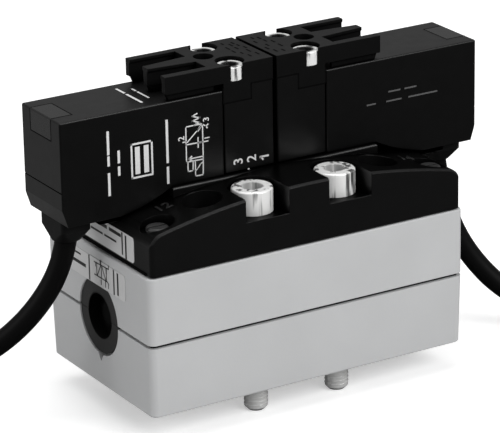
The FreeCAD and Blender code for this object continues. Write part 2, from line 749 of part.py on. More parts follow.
def pilot_base():
    half_w = PILOT_W / 2
    block = box(pilot_x(PILOT_FROM), pilot_x(BASE_TO), -half_w, half_w, BASE_Z, BASE_TOP_Z)
    upright = edges_at(block, lambda c: near(abs(c.y), half_w) and near(c.z, (BASE_Z + BASE_TOP_Z) / 2))
    block = block.makeFillet(PILOT_EDGE, upright)
    tools = []
    for side in (-1, 1):
        ys = sorted((side * (half_w - TAB_T), side * PILOT_W))
        tools.append(
            box(pilot_x(TAB_FROM - SEAT), pilot_x(HOUSING_TO), ys[0], ys[1], CAP_Z - TAB_DROP - SEAT, CAP_Z)
        )
    for x, y in CAP_SCREW_SPOTS:
        tools.append(post(x, y, PAD_Z, CAP_TOP_Z, CAP_SCREW_HOLE_R))
    tools.append(bar(pilot_x(NOZZLE_FROM), pilot_x(HOUSING_TO), 0, COIL_Z, VALVE_CAVITY_R))
    block = less(block, tools)
    nozzle = bar(pilot_x(NOZZLE_FROM - 1), pilot_x(NOZZLE_TO), 0, COIL_Z, NOZZLE_R)
    block = fused([block, nozzle])
    return less(block, [bar(pilot_x(NOZZLE_FROM - 2), pilot_x(HOUSING_TO), 0, COIL_Z, NOZZLE_HOLE_R)])


def pilot_gasket():
    inset = PILOT_GASKET_INSET
    half_w = PILOT_W / 2 - inset
    sheet = box(pilot_x(PILOT_FROM + inset), pilot_x(BASE_TO - inset), -half_w, half_w, PAD_Z, BASE_Z)
    return less(sheet, [post(x, y, 0, CAP_TOP_Z, CAP_SCREW_HOLE_R) for x, y in CAP_SCREW_SPOTS])


def coil_housing():
    """The long moulded housing, its underside lowered over the end of the plate."""
    inner = pilot_x(BASE_TO + SEAM)
    outer = pilot_x(HOUSING_TO)
    step = pilot_x(HOUSING_STEP_U)
    low = pilot_x(HOUSING_LOW_U)
    y = -PILOT_W / 2
    foot_z = PAD_Z + SEAT
    middle = V((step + low) / 2, y, (foot_z + HOUSING_LOW_Z) / 2 + HOUSING_BULGE)
    corners = [
        V(low, y, HOUSING_LOW_Z),
        V(outer - TOE_X, y, HOUSING_LOW_Z),
        V(outer, y, HOUSING_LOW_Z + TOE_H),
        V(outer, y, HOUSING_TOP_Z),
        V(inner, y, HOUSING_TOP_Z),
        V(inner, y, foot_z),
        V(step, y, foot_z),
    ]
    edges = [Part.LineSegment(a, b).toShape() for a, b in zip(corners, corners[1:])]
    edges.append(Part.Arc(corners[-1], middle, corners[0]).toShape())
    housing = Part.Face(Part.Wire(edges)).extrude(V(0, PILOT_W, 0))
    sharp = edges_at(
        housing,
        lambda c: (near(abs(c.y), PILOT_W / 2) and (near(c.z, HOUSING_TOP_Z) or near(c.x, outer)))
        or (near(c.x, outer) and near(c.z, HOUSING_TOP_Z))
        or near(c.x, inner) and near(abs(c.y), PILOT_W / 2),
    )
    housing = housing.makeFillet(PILOT_EDGE, sharp)
    tools = [bar(inner - 1, pilot_x(CAVITY_TO), 0, COIL_Z, CAVITY_R)]
    tools += lens_blocks(LENS_CLEAR, 1.0)
    line_z = HOUSING_LOW_Z + TOE_H + PART_LINE_Z
    tools.append(
        box(outer - PART_LINE_W, outer + 1, -PILOT_W, PILOT_W, line_z, line_z + PART_LINE_W)
    )
    return less(housing, tools)


def lens_blocks(clear, over):
    """The two arms of the signal window: one in the top and one down the end."""
    outer = pilot_x(HOUSING_TO)
    half_w = LENS_W / 2 + clear
    deep = LENS_T + clear
    top_arm = box(
        outer - LENS_L - clear, outer + over, -half_w, half_w, HOUSING_TOP_Z - deep, HOUSING_TOP_Z + over
    )
    end_arm = box(
        outer - deep, outer + over, -half_w, half_w, HOUSING_TOP_Z - LENS_DROP - clear, HOUSING_TOP_Z + over
    )
    return [top_arm, end_arm]


def signal_lens():
    lens = fused(lens_blocks(0.0, 0.0))
    outer = pilot_x(HOUSING_TO)
    ridge = edges_at(lens, lambda c: near(c.x, outer) and near(c.z, HOUSING_TOP_Z))
    return lens.makeFillet(PILOT_EDGE, ridge)


def clamp_cap():
    """The cap over the base, with three fingers reaching out over the coil housing."""
    half_w = PILOT_W / 2
    block = box(pilot_x(PILOT_FROM), pilot_x(BASE_TO), -half_w, half_w, CAP_Z, CAP_TOP_Z)
    bridge = box(pilot_x(BASE_TO - 1), pilot_x(CAP_BLOCK_TO), -half_w, half_w, FINGER_Z, CAP_TOP_Z)
    pieces = [block, bridge, centre_finger()]
    for side in (-1, 1):
        pieces.append(side_finger(side))
        ys = sorted((side * (half_w - TAB_T + SEAT), side * half_w))
        pieces.append(box(pilot_x(TAB_FROM), pilot_x(BASE_TO), ys[0], ys[1], CAP_Z - TAB_DROP, CAP_Z + 1))
    cap = fused(pieces)
    tools = []
    for x, y in CAP_SCREW_SPOTS:
        tools.append(post(x, y, 0, CAP_TOP_Z + 1, CAP_SCREW_HOLE_R))
        tools.append(post(x, y, CAP_TOP_Z - CAP_COUNTERBORE_DEPTH, CAP_TOP_Z + 1, CAP_COUNTERBORE_R))
    tools.append(post(pilot_x(CAP_HOLE_U), 0, CAP_TOP_Z - CAP_HOLE_DEPTH, CAP_TOP_Z + 1, CAP_HOLE_R))
    return less(cap, tools)


def side_finger(side):
    """A finger along a long side: upright outside, hooked lip inside, rounded under its tip."""
    half_w = PILOT_W / 2
    start = pilot_x(CAP_BLOCK_TO - 1)
    outline = [
        (half_w, FINGER_Z),
        (half_w, CAP_TOP_Z),
        (half_w - FINGER_SIDE_W, CAP_TOP_Z),
        (half_w - FINGER_SIDE_W, CAP_TOP_Z - LIP_T),
        (half_w - FINGER_SIDE_W + LIP_UNDER, CAP_TOP_Z - LIP_T - LIP_UNDER),
        (half_w - FINGER_SIDE_W + LIP_UNDER, FINGER_Z),
    ]
    points = [V(start, side * y, z) for y, z in outline]
    finger = Part.Face(Part.makePolygon(points + points[:1])).extrude(V(pilot_x(FINGER_TO) - start, 0, 0))
    under_tip = edges_at(finger, lambda c: near(c.x, pilot_x(FINGER_TO)) and near(c.z, FINGER_Z))
    finger = finger.makeFillet(FINGER_END_R, under_tip)
    ys = sorted((side * (half_w - FINGER_SIDE_W + LIP_UNDER), side * (half_w - FOOT_INSET)))
    return fused([finger, finger_foot(ys[0], ys[1])])


def finger_foot(y0, y1):
    """The rib under a finger, which presses the housing down; its end slopes back."""
    start = pilot_x(CAP_BLOCK_TO - 1)
    end = pilot_x(FINGER_TO - FOOT_FROM_TIP)
    low = HOUSING_TOP_Z + SEAT
    high = FINGER_Z + LIP_UNDER
    points = [V(start, y0, low), V(end - FOOT_SLOPE, y0, low), V(end, y0, high), V(start, y0, high)]
    return Part.Face(Part.makePolygon(points + points[:1])).extrude(V(0, y1 - y0, 0))


def centre_finger():
    """The middle finger, narrower towards its tip, with a lip along both sides."""
    start = pilot_x(CAP_BLOCK_TO - 1)
    tip = pilot_x(FINGER_TO)
    sections = []
    for x, width in ((start, FINGER_ROOT_W), (tip, FINGER_TIP_W)):
        wide = width / 2
        narrow = wide - LIP_UNDER
        side = [
            (narrow, FINGER_Z),
            (narrow, CAP_TOP_Z - LIP_T - LIP_UNDER),
            (wide, CAP_TOP_Z - LIP_T),
            (wide, CAP_TOP_Z),
        ]
        outline = side + [(-y, z) for y, z in reversed(side)]
        points = [V(x, y, z) for y, z in outline]
        sections.append(Part.makePolygon(points + points[:1]))
    foot_y = FINGER_TIP_W / 2 - LIP_UNDER - SEAT
    return fused([Part.makeLoft(sections, True, True), finger_foot(-foot_y, foot_y)])


def cap_screws():
    """The two socket screws of the right pilot's cap."""
    screws = []
    seat = CAP_TOP_Z - CAP_COUNTERBORE_DEPTH
    top = seat + CAP_SCREW_HEAD_H
    for x, y in CAP_SCREW_SPOTS:
        if x < PILOT_MID_X:
            continue
        shank = post(x, y, PAD_Z - CAP_SCREW_BITE, seat, CAP_SCREW_R)
        head = post(x, y, seat, top, CAP_SCREW_HEAD_R)
        head = head.makeFillet(EDGE_BREAK / 2, edges_at(head, lambda c: near(c.z, top)))
        socket = hexagon(x, y, top - CAP_SCREW_SOCKET_DEPTH, top + 1, CAP_SCREW_SOCKET)
        screws.append(less(fused([shank, head]), [socket]))
    return group(screws)


def coil_bobbin():
    bore = ARMATURE_R + ARMATURE_CLEAR
    tube = bar(pilot_x(BOBBIN_FROM), pilot_x(BOBBIN_TO), 0, COIL_Z, bore + BOBBIN_WALL)
    flange_r = CAVITY_R - SEAT
    inner = bar(pilot_x(BOBBIN_FROM), pilot_x(BOBBIN_FROM + BOBBIN_FLANGE), 0, COIL_Z, flange_r)
    outer = bar(pilot_x(BOBBIN_TO - BOBBIN_FLANGE), pilot_x(BOBBIN_TO), 0, COIL_Z, flange_r)
    return less(fused([tube, inner, outer]), [bar(pilot_x(0), pilot_x(HOUSING_TO), 0, COIL_Z, bore)])


def coil_winding():
    start = pilot_x(BOBBIN_FROM + BOBBIN_FLANGE + WINDING_CLEAR)
    end = pilot_x(BOBBIN_TO - BOBBIN_FLANGE - WINDING_CLEAR)
    inner_r = ARMATURE_R + ARMATURE_CLEAR + BOBBIN_WALL + WINDING_CLEAR
    winding = bar(start, end, 0, COIL_Z, CAVITY_R - BOBBIN_WALL)
    return less(winding, [bar(pilot_x(0), pilot_x(HOUSING_TO), 0, COIL_Z, inner_r)])


def fixed_core():
    face = pilot_x(ARMATURE_TO + ARMATURE_AIR)
    stem = bar(face, pilot_x(BOBBIN_TO + SEAT), 0, COIL_Z, ARMATURE_R)
    flange = bar(
        pilot_x(BOBBIN_TO + SEAT), pilot_x(BOBBIN_TO + SEAT + CORE_FLANGE_T), 0, COIL_Z, CORE_FLANGE_R
    )
    return fused([stem, flange])


def armature():
    tip = bar(pilot_x(NOZZLE_TO + SEAT), pilot_x(BOBBIN_FROM + 1), 0, COIL_Z, TIP_R)
    stem = bar(pilot_x(BOBBIN_FROM), pilot_x(ARMATURE_TO), 0, COIL_Z, ARMATURE_R)
    pocket_from = pilot_x(ARMATURE_TO - SPRING_POCKET_DEPTH)
    pocket = bar(pocket_from, pilot_x(HOUSING_TO), 0, COIL_Z, SPRING_POCKET_R)
    return less(fused([tip, stem]), [pocket])


def armature_spring():
    return spring(
        V(pilot_x(ARMATURE_TO - SPRING_POCKET_DEPTH), 0, COIL_Z),
        V(1, 0, 0),
        SPRING_POCKET_DEPTH + ARMATURE_AIR,
        ARMATURE_SPRING_R,
        ARMATURE_SPRING_WIRE,
        ARMATURE_SPRING_TURNS,
    )


def cable_grip():
    """The block that the cable leaves through, narrowing to a round neck."""
    x = pilot_x(GRIP_U)
    neck_z = GRIP_Z + GRIP_NECK_H
    block = rounded_block(GRIP_TOP_L, GRIP_TOP_W, GRIP_TOP_CORNER, neck_z, HOUSING_LOW_Z, x)
    top = rounded_wire(GRIP_TOP_L, GRIP_TOP_W, GRIP_TOP_CORNER, neck_z, x)
    foot = rounded_wire(GRIP_FOOT, GRIP_FOOT, GRIP_FOOT / 2 * 0.99, GRIP_Z, x)
    grip = fused([block, Part.makeLoft([foot, top], True, True)])
    start, end = exit_run(1)
    return less(grip, [Part.makeCylinder(CABLE_D / 2 + SEAT, CABLE_IN + CABLE_OUT, start, end - start)])


def route_wire(route, name):
    """Straight runs joined by arcs, each arc as large as its two runs allow."""
    edges = []
    start = route[0]
    radii = []
    for i in range(1, len(route) - 1):
        before = route[i - 1] - route[i]
        after = route[i + 1] - route[i]
        reach = 0.45 * min(before.Length, after.Length)
        turn = math.pi - before.getAngle(after)
        r = reach / math.tan(turn / 2)
        radii.append(r)
        a = route[i] + before.normalize() * reach
        b = route[i] + after.normalize() * reach
        bisector = (before + after).normalize()
        centre = route[i] + bisector * math.hypot(reach, r)
        middle = centre - bisector * r
        edges.append(Part.LineSegment(start, a).toShape())
        edges.append(Part.Arc(a, middle, b).toShape())
        start = b
    edges.append(Part.LineSegment(start, route[-1]).toShape())
    print(name, "radii in mm:", [round(r, 1) for r in radii])
    return Part.Wire(edges)


def cable(route, name):
    wire = route_wire(route, name)
    direction = route[1] - route[0]
    section = Part.Wire(Part.Circle(route[0], direction, CABLE_D / 2).toShape())
    tube = wire.makePipeShell([section], True, False)
    expected = math.pi * (CABLE_D / 2) ** 2 * wire.Length
    print(name, "length in mm:", round(wire.Length, 1))
    print(name, "volume over section times length:", round(tube.Volume / expected, 4))
    return tube


def hank_place(side, out, across, z):
    """A place of a hank: out from the valve, across towards the side where the cable arrives."""
    return V(side * out, -side * across, z)


def wrapped_face(side, out, way, lanes, r):
    """The outline of a skin round the cords of some lanes, across the hank on one of its sides."""
    mid_r = sum(lane[0] for lane in lanes) / len(lanes)
    mid_z = sum(lane[1] for lane in lanes) / len(lanes)
    arcs = []
    for i, (lane_r, lane_z) in enumerate(lanes):
        last = lanes[i - 1]
        following = lanes[(i + 1) % len(lanes)]
        ways = [
            (lane_z - last[1], last[0] - lane_r),
            (lane_r - mid_r, lane_z - mid_z),
            (following[1] - lane_z, lane_r - following[0]),
        ]
        points = []
        for dr, dz in ways:
            reach = r / math.hypot(dr, dz)
            points.append(hank_place(side, out, way * (lane_r + dr * reach), lane_z + dz * reach))
        arcs.append(points)
    edges = []
    for i, points in enumerate(arcs):
        edges.append(Part.Arc(*points).toShape())
        edges.append(Part.LineSegment(points[2], arcs[(i + 1) % len(arcs)][0]).toShape())
    return Part.Face(Part.Wire(edges))


def cable_hank(side, near_fold, tube):
    """The outer shape of the whole hank, with a seat for the length that arrives in it."""
    r = CABLE_D / 2
    far_fold = near_fold + HANK_RUN
    along = V(side * HANK_RUN, 0, 0)
    arrival_run = wrapped_face(side, near_fold, 1, ALL_LANES, r).extrude(along)
    return_run = wrapped_face(side, near_fold, -1, FLOOR_LANES, r).extrude(along)
    up = V(0, 0, 1)
    far_half = wrapped_face(side, far_fold, 1, ALL_LANES, r)
    far_half = far_half.revolve(hank_place(side, far_fold, 0, 0), up, 180)
    near_half = wrapped_face(side, near_fold, -1, ALL_LANES, r)
    near_half = near_half.revolve(hank_place(side, near_fold, 0, 0), up, 180)
    return less(fused([arrival_run, far_half, return_run, near_half]), [tube])


def cable_tie(side, near_fold):
    """A flat band round the three cords, half way along the run that the cable arrives in."""
    out = near_fold + (HANK_RUN - TIE_W) / 2
    along = V(side * TIE_W, 0, 0)
    band = wrapped_face(side, out, 1, ALL_LANES, CABLE_D / 2 + TIE_T).extrude(along)
    return less(band, [wrapped_face(side, out, 1, ALL_LANES, CABLE_D / 2).extrude(along)])


def lead_ends(side, near_fold):
    """Three stripped cores with ferrules, lying back along the hank."""
    end = hank_place(side, near_fold + HANK_RUN, -TOP_LANE_R, TOP_LANE_Z)
    drop = (TOP_LANE_Z - FERRULE_END_Z) / (CORE_L + FERRULE_L)
    cores = []
    for i in (-1, 0, 1):
        aim = V(-side, i * CORE_FAN, -drop)
        aim.normalize()
        start = end + V(0, i * 2 * CORE_R, 0)
        core = Part.makeCylinder(CORE_R, CORE_L + CORE_R, start - aim * CORE_R, aim)
        ferrule = Part.makeCylinder(FERRULE_R, FERRULE_L, start + aim * CORE_L, aim)
        beyond = box(0, 2 * CORE_R, -CABLE_D, CABLE_D, -CABLE_D, CABLE_D)
        beyond.translate(start - V(CORE_R - side * CORE_R, 0, 0))
        cores.append(less(core.fuse([ferrule]), [beyond]))
    return group(cores)


def label(x, y0, y1, z0, z1):
    """A thin rounded label on an end face that looks towards -X."""
    flat = rounded_block(z1 - z0, y1 - y0, LABEL_CORNER, 0, LABEL_T)
    flat.rotate(V(0, 0, 0), V(0, 1, 0), -90)
    flat.translate(V(x, (y0 + y1) / 2, (z0 + z1) / 2))
    return flat


def write(name, shape):
    shape.exportStep("parts/" + name + ".step")


def build():
    os.makedirs("parts", exist_ok=True)
    write("lower_body", lower_body())
    write("upper_body", upper_body())
    write("body_gaskets", body_gaskets())
    write("face_seal", face_seal())
    write("plate_gasket", plate_gasket())
    write("pilot_plate", pilot_plate())
    write("mounting_screws", mounting_screws())
    write("plate_screws", plate_screws())
    write("spool_sleeve", spool_sleeve())
    write("sleeve_seals", sleeve_seals())
    write("spool", spool())
    write("piston_seals", piston_seals())
    for name, side in (("left", -1), ("right", 1)):
        write(name + "_override_button", override_button(side))
        write(name + "_override_spring", override_spring(side))
        write(name + "_piston", piston(side))
        write(name + "_bush_upper", bush_half(side, True))
        write(name + "_bush_lower", bush_half(side, False))
        write(name + "_end_plug", end_plug(side))
    pilot = {
        "pilot_base": pilot_base(),
        "pilot_gasket": pilot_gasket(),
        "coil_housing": coil_housing(),
        "signal_lens": signal_lens(),
        "clamp_cap": clamp_cap(),
        "cap_screws": cap_screws(),
        "coil_bobbin": coil_bobbin(),
        "coil_winding": coil_winding(),
        "fixed_core": fixed_core(),
        "armature": armature(),
        "armature_spring": armature_spring(),
        "cable_grip": cable_grip(),
    }
    for name, shape in pilot.items():
        write("right_" + name, shape)
        write("left_" + name, half_turned(shape))
    for name, side, route, near_fold in (
        ("left", -1, LEFT_ROUTE, LEFT_FOLD_X),
        ("right", 1, RIGHT_ROUTE, RIGHT_FOLD_X),
    ):
        tube = cable(route, name + " cable")
        write(name + "_cable", tube)
        write(name + "_cable_hank", cable_hank(side, near_fold, tube))
        write(name + "_cable_tie", cable_tie(side, near_fold))
        write(name + "_lead_ends", lead_ends(side, near_fold))
    low = PLATE_Z + PLATE_LABEL_FROM
    write("plate_label", label(-PLATE_L / 2, *PLATE_LABEL_Y, low, low + PLATE_LABEL_H))
    low = AXIS_Z + BODY_LABEL_FROM
    write("body_label", label(-BODY_L / 2, -BODY_LABEL_W / 2, BODY_LABEL_W / 2, low, low + BODY_LABEL_H))


build()
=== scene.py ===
import json
import math
import bpy
from mathutils import Matrix, Vector


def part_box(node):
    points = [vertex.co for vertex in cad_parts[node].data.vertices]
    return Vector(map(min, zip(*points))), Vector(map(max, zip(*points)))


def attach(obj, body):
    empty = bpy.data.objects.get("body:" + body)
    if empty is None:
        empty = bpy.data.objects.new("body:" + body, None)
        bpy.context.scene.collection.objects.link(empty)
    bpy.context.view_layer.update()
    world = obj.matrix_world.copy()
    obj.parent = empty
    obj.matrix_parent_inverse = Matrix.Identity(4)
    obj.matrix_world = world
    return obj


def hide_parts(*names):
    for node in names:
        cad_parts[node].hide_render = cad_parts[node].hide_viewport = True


# The dressed valve: camera, cables, finishes, moulded marks and prints.
# Metres, in the frame of the solids: X along the spool, Y away from the front, Z up.

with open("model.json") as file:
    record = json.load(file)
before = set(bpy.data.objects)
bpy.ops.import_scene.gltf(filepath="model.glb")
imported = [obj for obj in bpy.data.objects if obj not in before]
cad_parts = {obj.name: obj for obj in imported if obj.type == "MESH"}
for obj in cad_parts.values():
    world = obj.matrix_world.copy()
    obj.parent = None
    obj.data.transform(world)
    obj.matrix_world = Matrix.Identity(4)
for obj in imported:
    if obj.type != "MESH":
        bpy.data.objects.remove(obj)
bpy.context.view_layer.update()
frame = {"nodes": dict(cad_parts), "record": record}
nodes = frame["nodes"]

MM = 0.001

# Camera: where the photographer stood, and the long lens used
CAMERA_PLACE = Vector((-0.3227, -0.5407, 0.2663))
CAMERA_YAW = 30.73
CAMERA_PITCH = -20.17
CAMERA_ROLL = -1.09
CAMERA_LENS = 234.2
CAMERA_SENSOR = 36
CAMERA_NEAR = 0.05

# Where a cable leaves its grip, counted outwards from the gap between the pilots
PILOT_MID_X = 0.4 * MM
GRIP_U = 44.3 * MM
GRIP_LEAN = 0.178
GRIP_FOOT_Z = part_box("left_cable_grip")[0].z
CABLE_IN = 4.0 * MM
CABLE_OUT = 1.6 * MM

# The put-away hank: three lanes of cable, the third in the groove of the two on the floor
CABLE_D = 4.5 * MM
CORD_PITCH = 4.6 * MM
TIE_T = 0.6 * MM
TOP_LANE_R = 15.75 * MM
OUTER_LANE_R = TOP_LANE_R + CORD_PITCH / 2
FLOOR_LANE_Z = CABLE_D / 2 + TIE_T
TOP_LANE_Z = FLOOR_LANE_Z + CORD_PITCH * math.sqrt(3) / 2
HANK_RUN = 36.0 * MM
LEFT_FOLD_X = 90.0 * MM
RIGHT_FOLD_X = 88.5 * MM

# Along the hank, in quarters of a turn: the steps between lanes, the hump over one, the end
STEP_IN = 3.4
STEP_UP = 6.5
STEP_SPAN = 0.6
STEP_UP_TURN = 60
HUMP_FROM = 7.3
HUMP_SPAN = 0.8
HUMP = 0.65 * MM
HANK_END = 10
FOLD_STEPS = 8
RUN_STEPS = 3
CURVE_STEPS = 8
ROUND_STEPS = 6

# The stripped cores and their ferrules
CORE_R = 0.6 * MM
CORE_L = 17.0 * MM
CORE_FAN = 0.12
FERRULE_R = 0.8 * MM
FERRULE_L = 6.0 * MM
FERRULE_CLEAR = 0.05 * MM
FERRULE_END_Z = FLOOR_LANE_Z + CABLE_D / 2 + FERRULE_R + FERRULE_CLEAR
ROD_SIDES = 20
ROD_CHAMFER = 0.2
SMOOTH_BELOW = math.radians(40)


def exit_run(side):
    """The first run of a cable, leaning outwards through its grip."""
    foot = PILOT_MID_X + side * GRIP_U
    return [
        Vector((foot - side * CABLE_IN * GRIP_LEAN, 0, GRIP_FOOT_Z + CABLE_IN)),
        Vector((foot + side * CABLE_OUT * GRIP_LEAN, 0, GRIP_FOOT_Z - CABLE_OUT)),
    ]


def in_metres(points):
    return [Vector(point) * MM for point in points]


LEFT_ROUTE = exit_run(-1) + in_metres(
    [
        (-45.9, 0.5, 32.3),
        (-48.4, 1.8, 27.2),
        (-51.9, 3.3, 22.5),
        (-55.8, 5.7, 18.2),
        (-60.4, 8.3, 14.7),
        (-64.9, 11.1, 11.3),
        (-69.2, 13.9, 7.9),
        (-74.0, 16.1, 5.4),
        (-79.5, 17.5, 3.8),
        (-84.9, 18.05, 2.85),
    ]
)
RIGHT_ROUTE = exit_run(1) + in_metres(
    [
        (45.8, -0.2, 32.1),
        (47.3, -1.0, 26.3),
        (49.3, -2.4, 20.6),
        (52.3, -4.4, 15.2),
        (55.9, -6.8, 10.5),
        (60.2, -9.4, 6.9),
        (65.2, -12.0, 4.6),
        (70.9, -14.6, 3.4),
        (76.7, -16.8, 3.1),
        (82.6, -18.05, 2.85),
    ]
)


def smooth(t):
    """An easy rise from 0 to 1 as t goes from 0 to 1."""
    t = min(max(t, 0.0), 1.0)
    return t * t * (3 - 2 * t)


def lane(u):
    """Radius and height of the cord's middle, u quarters of a turn into the hank."""
    if u <= STEP_UP:
        # The outer lane on the floor, then a step in to the inner one.
        return OUTER_LANE_R - CORD_PITCH * smooth((u - STEP_IN) / STEP_SPAN), FLOOR_LANE_Z
    # It rolls over the outer cord into the groove, and rides over the step.
    around = math.radians(180 - STEP_UP_TURN * smooth((u - STEP_UP) / STEP_SPAN))
    over = (u - HUMP_FROM) / HUMP_SPAN
    hump = HUMP * math.sin(math.pi * over) if 0 < over < 1 else 0.0
    radius = OUTER_LANE_R + CORD_PITCH * math.cos(around)
    return radius, FLOOR_LANE_Z + CORD_PITCH * math.sin(around) + hump


def hank_place(side, out, across, z):
    return Vector((side * out, -side * across, z))


def hank_points(side, near_fold):
    """Control points of the hank: run, far fold, run back, near fold, and so on."""
    # A fold's points lie a little outside it, because the curve passes inside its points.
    swell = 1 / (0.75 + 0.25 * math.cos(math.pi / FOLD_STEPS)) - 1
    points = []
    for section in range(HANK_END):
        part = section % 4
        steps = FOLD_STEPS if part % 2 else RUN_STEPS
        for i in range(steps):
            f = i / steps
            radius, z = lane(section + f)
            if part == 0:
                out, across = near_fold + f * HANK_RUN, radius
            elif part == 2:
                out, across = near_fold + (1 - f) * HANK_RUN, -radius
            else:
                radius *= 1 + swell * (1 if i else 0.5)
                out, across = radius * math.sin(math.pi * f), radius * math.cos(math.pi * f)
                if part == 1:
                    out += near_fold + HANK_RUN
                else:
                    out, across = near_fold - out, -across
            if i == 0 and part % 2 == 0 and section > 0:
                across *= 1 + swell / 2
            points.append(hank_place(side, out, across, z))
    radius, z = lane(HANK_END)
    points.append(hank_place(side, near_fold + HANK_RUN, -radius, z))
    return points


def cable_curve(name, points):
    """A round cable along one smooth line through the route and the hank."""
    curve = bpy.data.curves.new(name, "CURVE")
    curve.dimensions = "3D"
    spline = curve.splines.new("NURBS")
    spline.points.add(len(points) - 1)
    for point, place in zip(spline.points, points):
        point.co = (*place, 1)
    spline.order_u = 3
    spline.use_endpoint_u = True
    spline.resolution_u = CURVE_STEPS
    curve.bevel_depth = CABLE_D / 2
    curve.bevel_resolution = ROUND_STEPS
    curve.use_fill_caps = True
    piece = bpy.data.objects.new(name, curve)
    bpy.context.scene.collection.objects.link(piece)
    return piece


def make_camera():
    bpy.ops.object.camera_add(location=CAMERA_PLACE)
    camera = bpy.context.object
    camera.name = "photo_camera"
    camera.data.lens = CAMERA_LENS
    camera.data.sensor_width = CAMERA_SENSOR
    camera.data.clip_start = CAMERA_NEAR
    turn = (
        Matrix.Rotation(math.radians(-CAMERA_YAW), 3, "Z")
        @ Matrix.Rotation(math.radians(90 + CAMERA_PITCH), 3, "X")
        @ Matrix.Rotation(math.radians(CAMERA_ROLL), 3, "Z")
    )
    camera.rotation_euler = turn.to_euler()
    bpy.context.scene.camera = camera


make_camera()


# Finishes: noise in Object coordinates gives each its uneven tone, gloss and fine relief; some also
# carry painted shade in pockets, sockets, eyes and on tops, and painted reflections on the screws

SCREW_PITCH_X = 19.5 * MM
SCREW_PITCH_Y = 30.5 * MM
SOCKET_R = 2.2 * MM
CAP_SCREW_U = 8.9 * MM
CAP_SCREW_Y = 5.3 * MM
CAP_SOCKET_R = 1.9 * MM
# Painted shade in the screw sockets, painted reflections down the screw sides, an even painted level on
# the tips
SOCKET_SHADE_FADE = (0.85, 1.12)
REFLECTION_STREAK_FADE = (0.35, 0.47)
REFLECTION_STREAK_STRETCH = (1, 1, 0.12)
TIP_FADE = (5.0 * MM, 7.0 * MM)
TIP_REFLECTION_LEVEL = 0.66
AXIS_Z = (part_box("spool_sleeve")[0].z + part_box("spool_sleeve")[1].z) / 2
# The bush's eye, painted black inside as shade deep in its bore
EYE_R = 4.85 * MM
EYE_SHADE_FADE = (1.01, 1.03)
TINT_FROM, TINT_TO = 0.3, 0.7
# Masks for painted shade: on tops, and in pockets
UPRIGHT_FADE = (0.95, 0.6)
POCKET_FADE = (0.45, 0.93)
EDGE_SAMPLES = 4
POCKET_SAMPLES = 8
GLOSS_SWING = 0.05


def shader(name):
    """A new material, its node tree, its shader and its Object coordinates."""
    material = bpy.data.materials.new(name)
    material.use_nodes = True
    tree = material.node_tree
    principled = tree.nodes["Principled BSDF"]
    place = tree.nodes.new("ShaderNodeTexCoord")
    return material, tree, principled, place.outputs["Object"]


def noise(tree, place, scale, detail=3.0, stretch=(1, 1, 1)):
    """Noise from 0 to 1, coarser along a direction that is stretched by less than 1."""
    mapping = tree.nodes.new("ShaderNodeMapping")
    mapping.inputs["Scale"].default_value = stretch
    tree.links.new(place, mapping.inputs["Vector"])
    texture = tree.nodes.new("ShaderNodeTexNoise")
    texture.inputs["Scale"].default_value = scale
    texture.inputs["Detail"].default_value = detail
    tree.links.new(mapping.outputs["Vector"], texture.inputs["Vector"])
    return texture.outputs["Fac"]


def spread(tree, value, low, high):
    """Maps a 0 to 1 value to a range."""
    span = tree.nodes.new("ShaderNodeMapRange")
    span.inputs["To Min"].default_value = low
    span.inputs["To Max"].default_value = high
    tree.links.new(value, span.inputs["Value"])
    return span.outputs["Result"]


def tint(tree, value, dark, light):
    """A colour between two, chosen by a 0 to 1 value."""
    ramp = tree.nodes.new("ShaderNodeValToRGB")
    first, last = ramp.color_ramp.elements
    first.color, first.position = (*dark, 1), TINT_FROM
    last.color, last.position = (*light, 1), TINT_TO
    tree.links.new(value, ramp.inputs["Fac"])
    return ramp.outputs["Color"]


def roughened(tree, principled, marks, low, high):
    """Roughness between two values, by a 0 to 1 value."""
    tree.links.new(spread(tree, marks, low, high), principled.inputs["Roughness"])


def relieved(tree, principled, marks, distance, strength, edge):
    """Fine relief, over sharp edges that the shading rounds by a real radius."""
    bevel = tree.nodes.new("ShaderNodeBevel")
    bevel.samples = EDGE_SAMPLES
    bevel.inputs["Radius"].default_value = edge
    bump = tree.nodes.new("ShaderNodeBump")
    bump.inputs["Distance"].default_value = distance
    bump.inputs["Strength"].default_value = strength
    tree.links.new(marks, bump.inputs["Height"])
    tree.links.new(bevel.outputs["Normal"], bump.inputs["Normal"])
    tree.links.new(bump.outputs["Normal"], principled.inputs["Normal"])


def from_axis(tree, place, middle, spot, across):
    """Distance from an axis, after folding the four or two like axes into one."""
    steps = (("SUBTRACT", middle), ("ABSOLUTE", None), ("SUBTRACT", spot), ("MULTIPLY", across))
    vector = place
    for operation, value in steps:
        step = tree.nodes.new("ShaderNodeVectorMath")
        step.operation = operation
        tree.links.new(vector, step.inputs[0])
        if value is not None:
            step.inputs[1].default_value = value
        vector = step.outputs["Vector"]
    length = tree.nodes.new("ShaderNodeVectorMath")
    length.operation = "LENGTH"
    tree.links.new(vector, length.inputs[0])
    return length.outputs["Value"]


def beyond(tree, value, near, far):
    """0 below the near value, 1 above the far one."""
    span = tree.nodes.new("ShaderNodeMapRange")
    span.inputs["From Min"].default_value = near
    span.inputs["From Max"].default_value = far
    tree.links.new(value, span.inputs["Value"])
    return span.outputs["Result"]


def product(tree, one, other):
    """Two values multiplied."""
    times = tree.nodes.new("ShaderNodeMath")
    times.operation = "MULTIPLY"
    tree.links.new(one, times.inputs[0])
    tree.links.new(other, times.inputs[1])
    return times.outputs["Value"]


def axis(tree, vector, letter):
    """One coordinate of a vector."""
    axes = tree.nodes.new("ShaderNodeSeparateXYZ")
    tree.links.new(vector, axes.inputs["Vector"])
    return axes.outputs[letter]


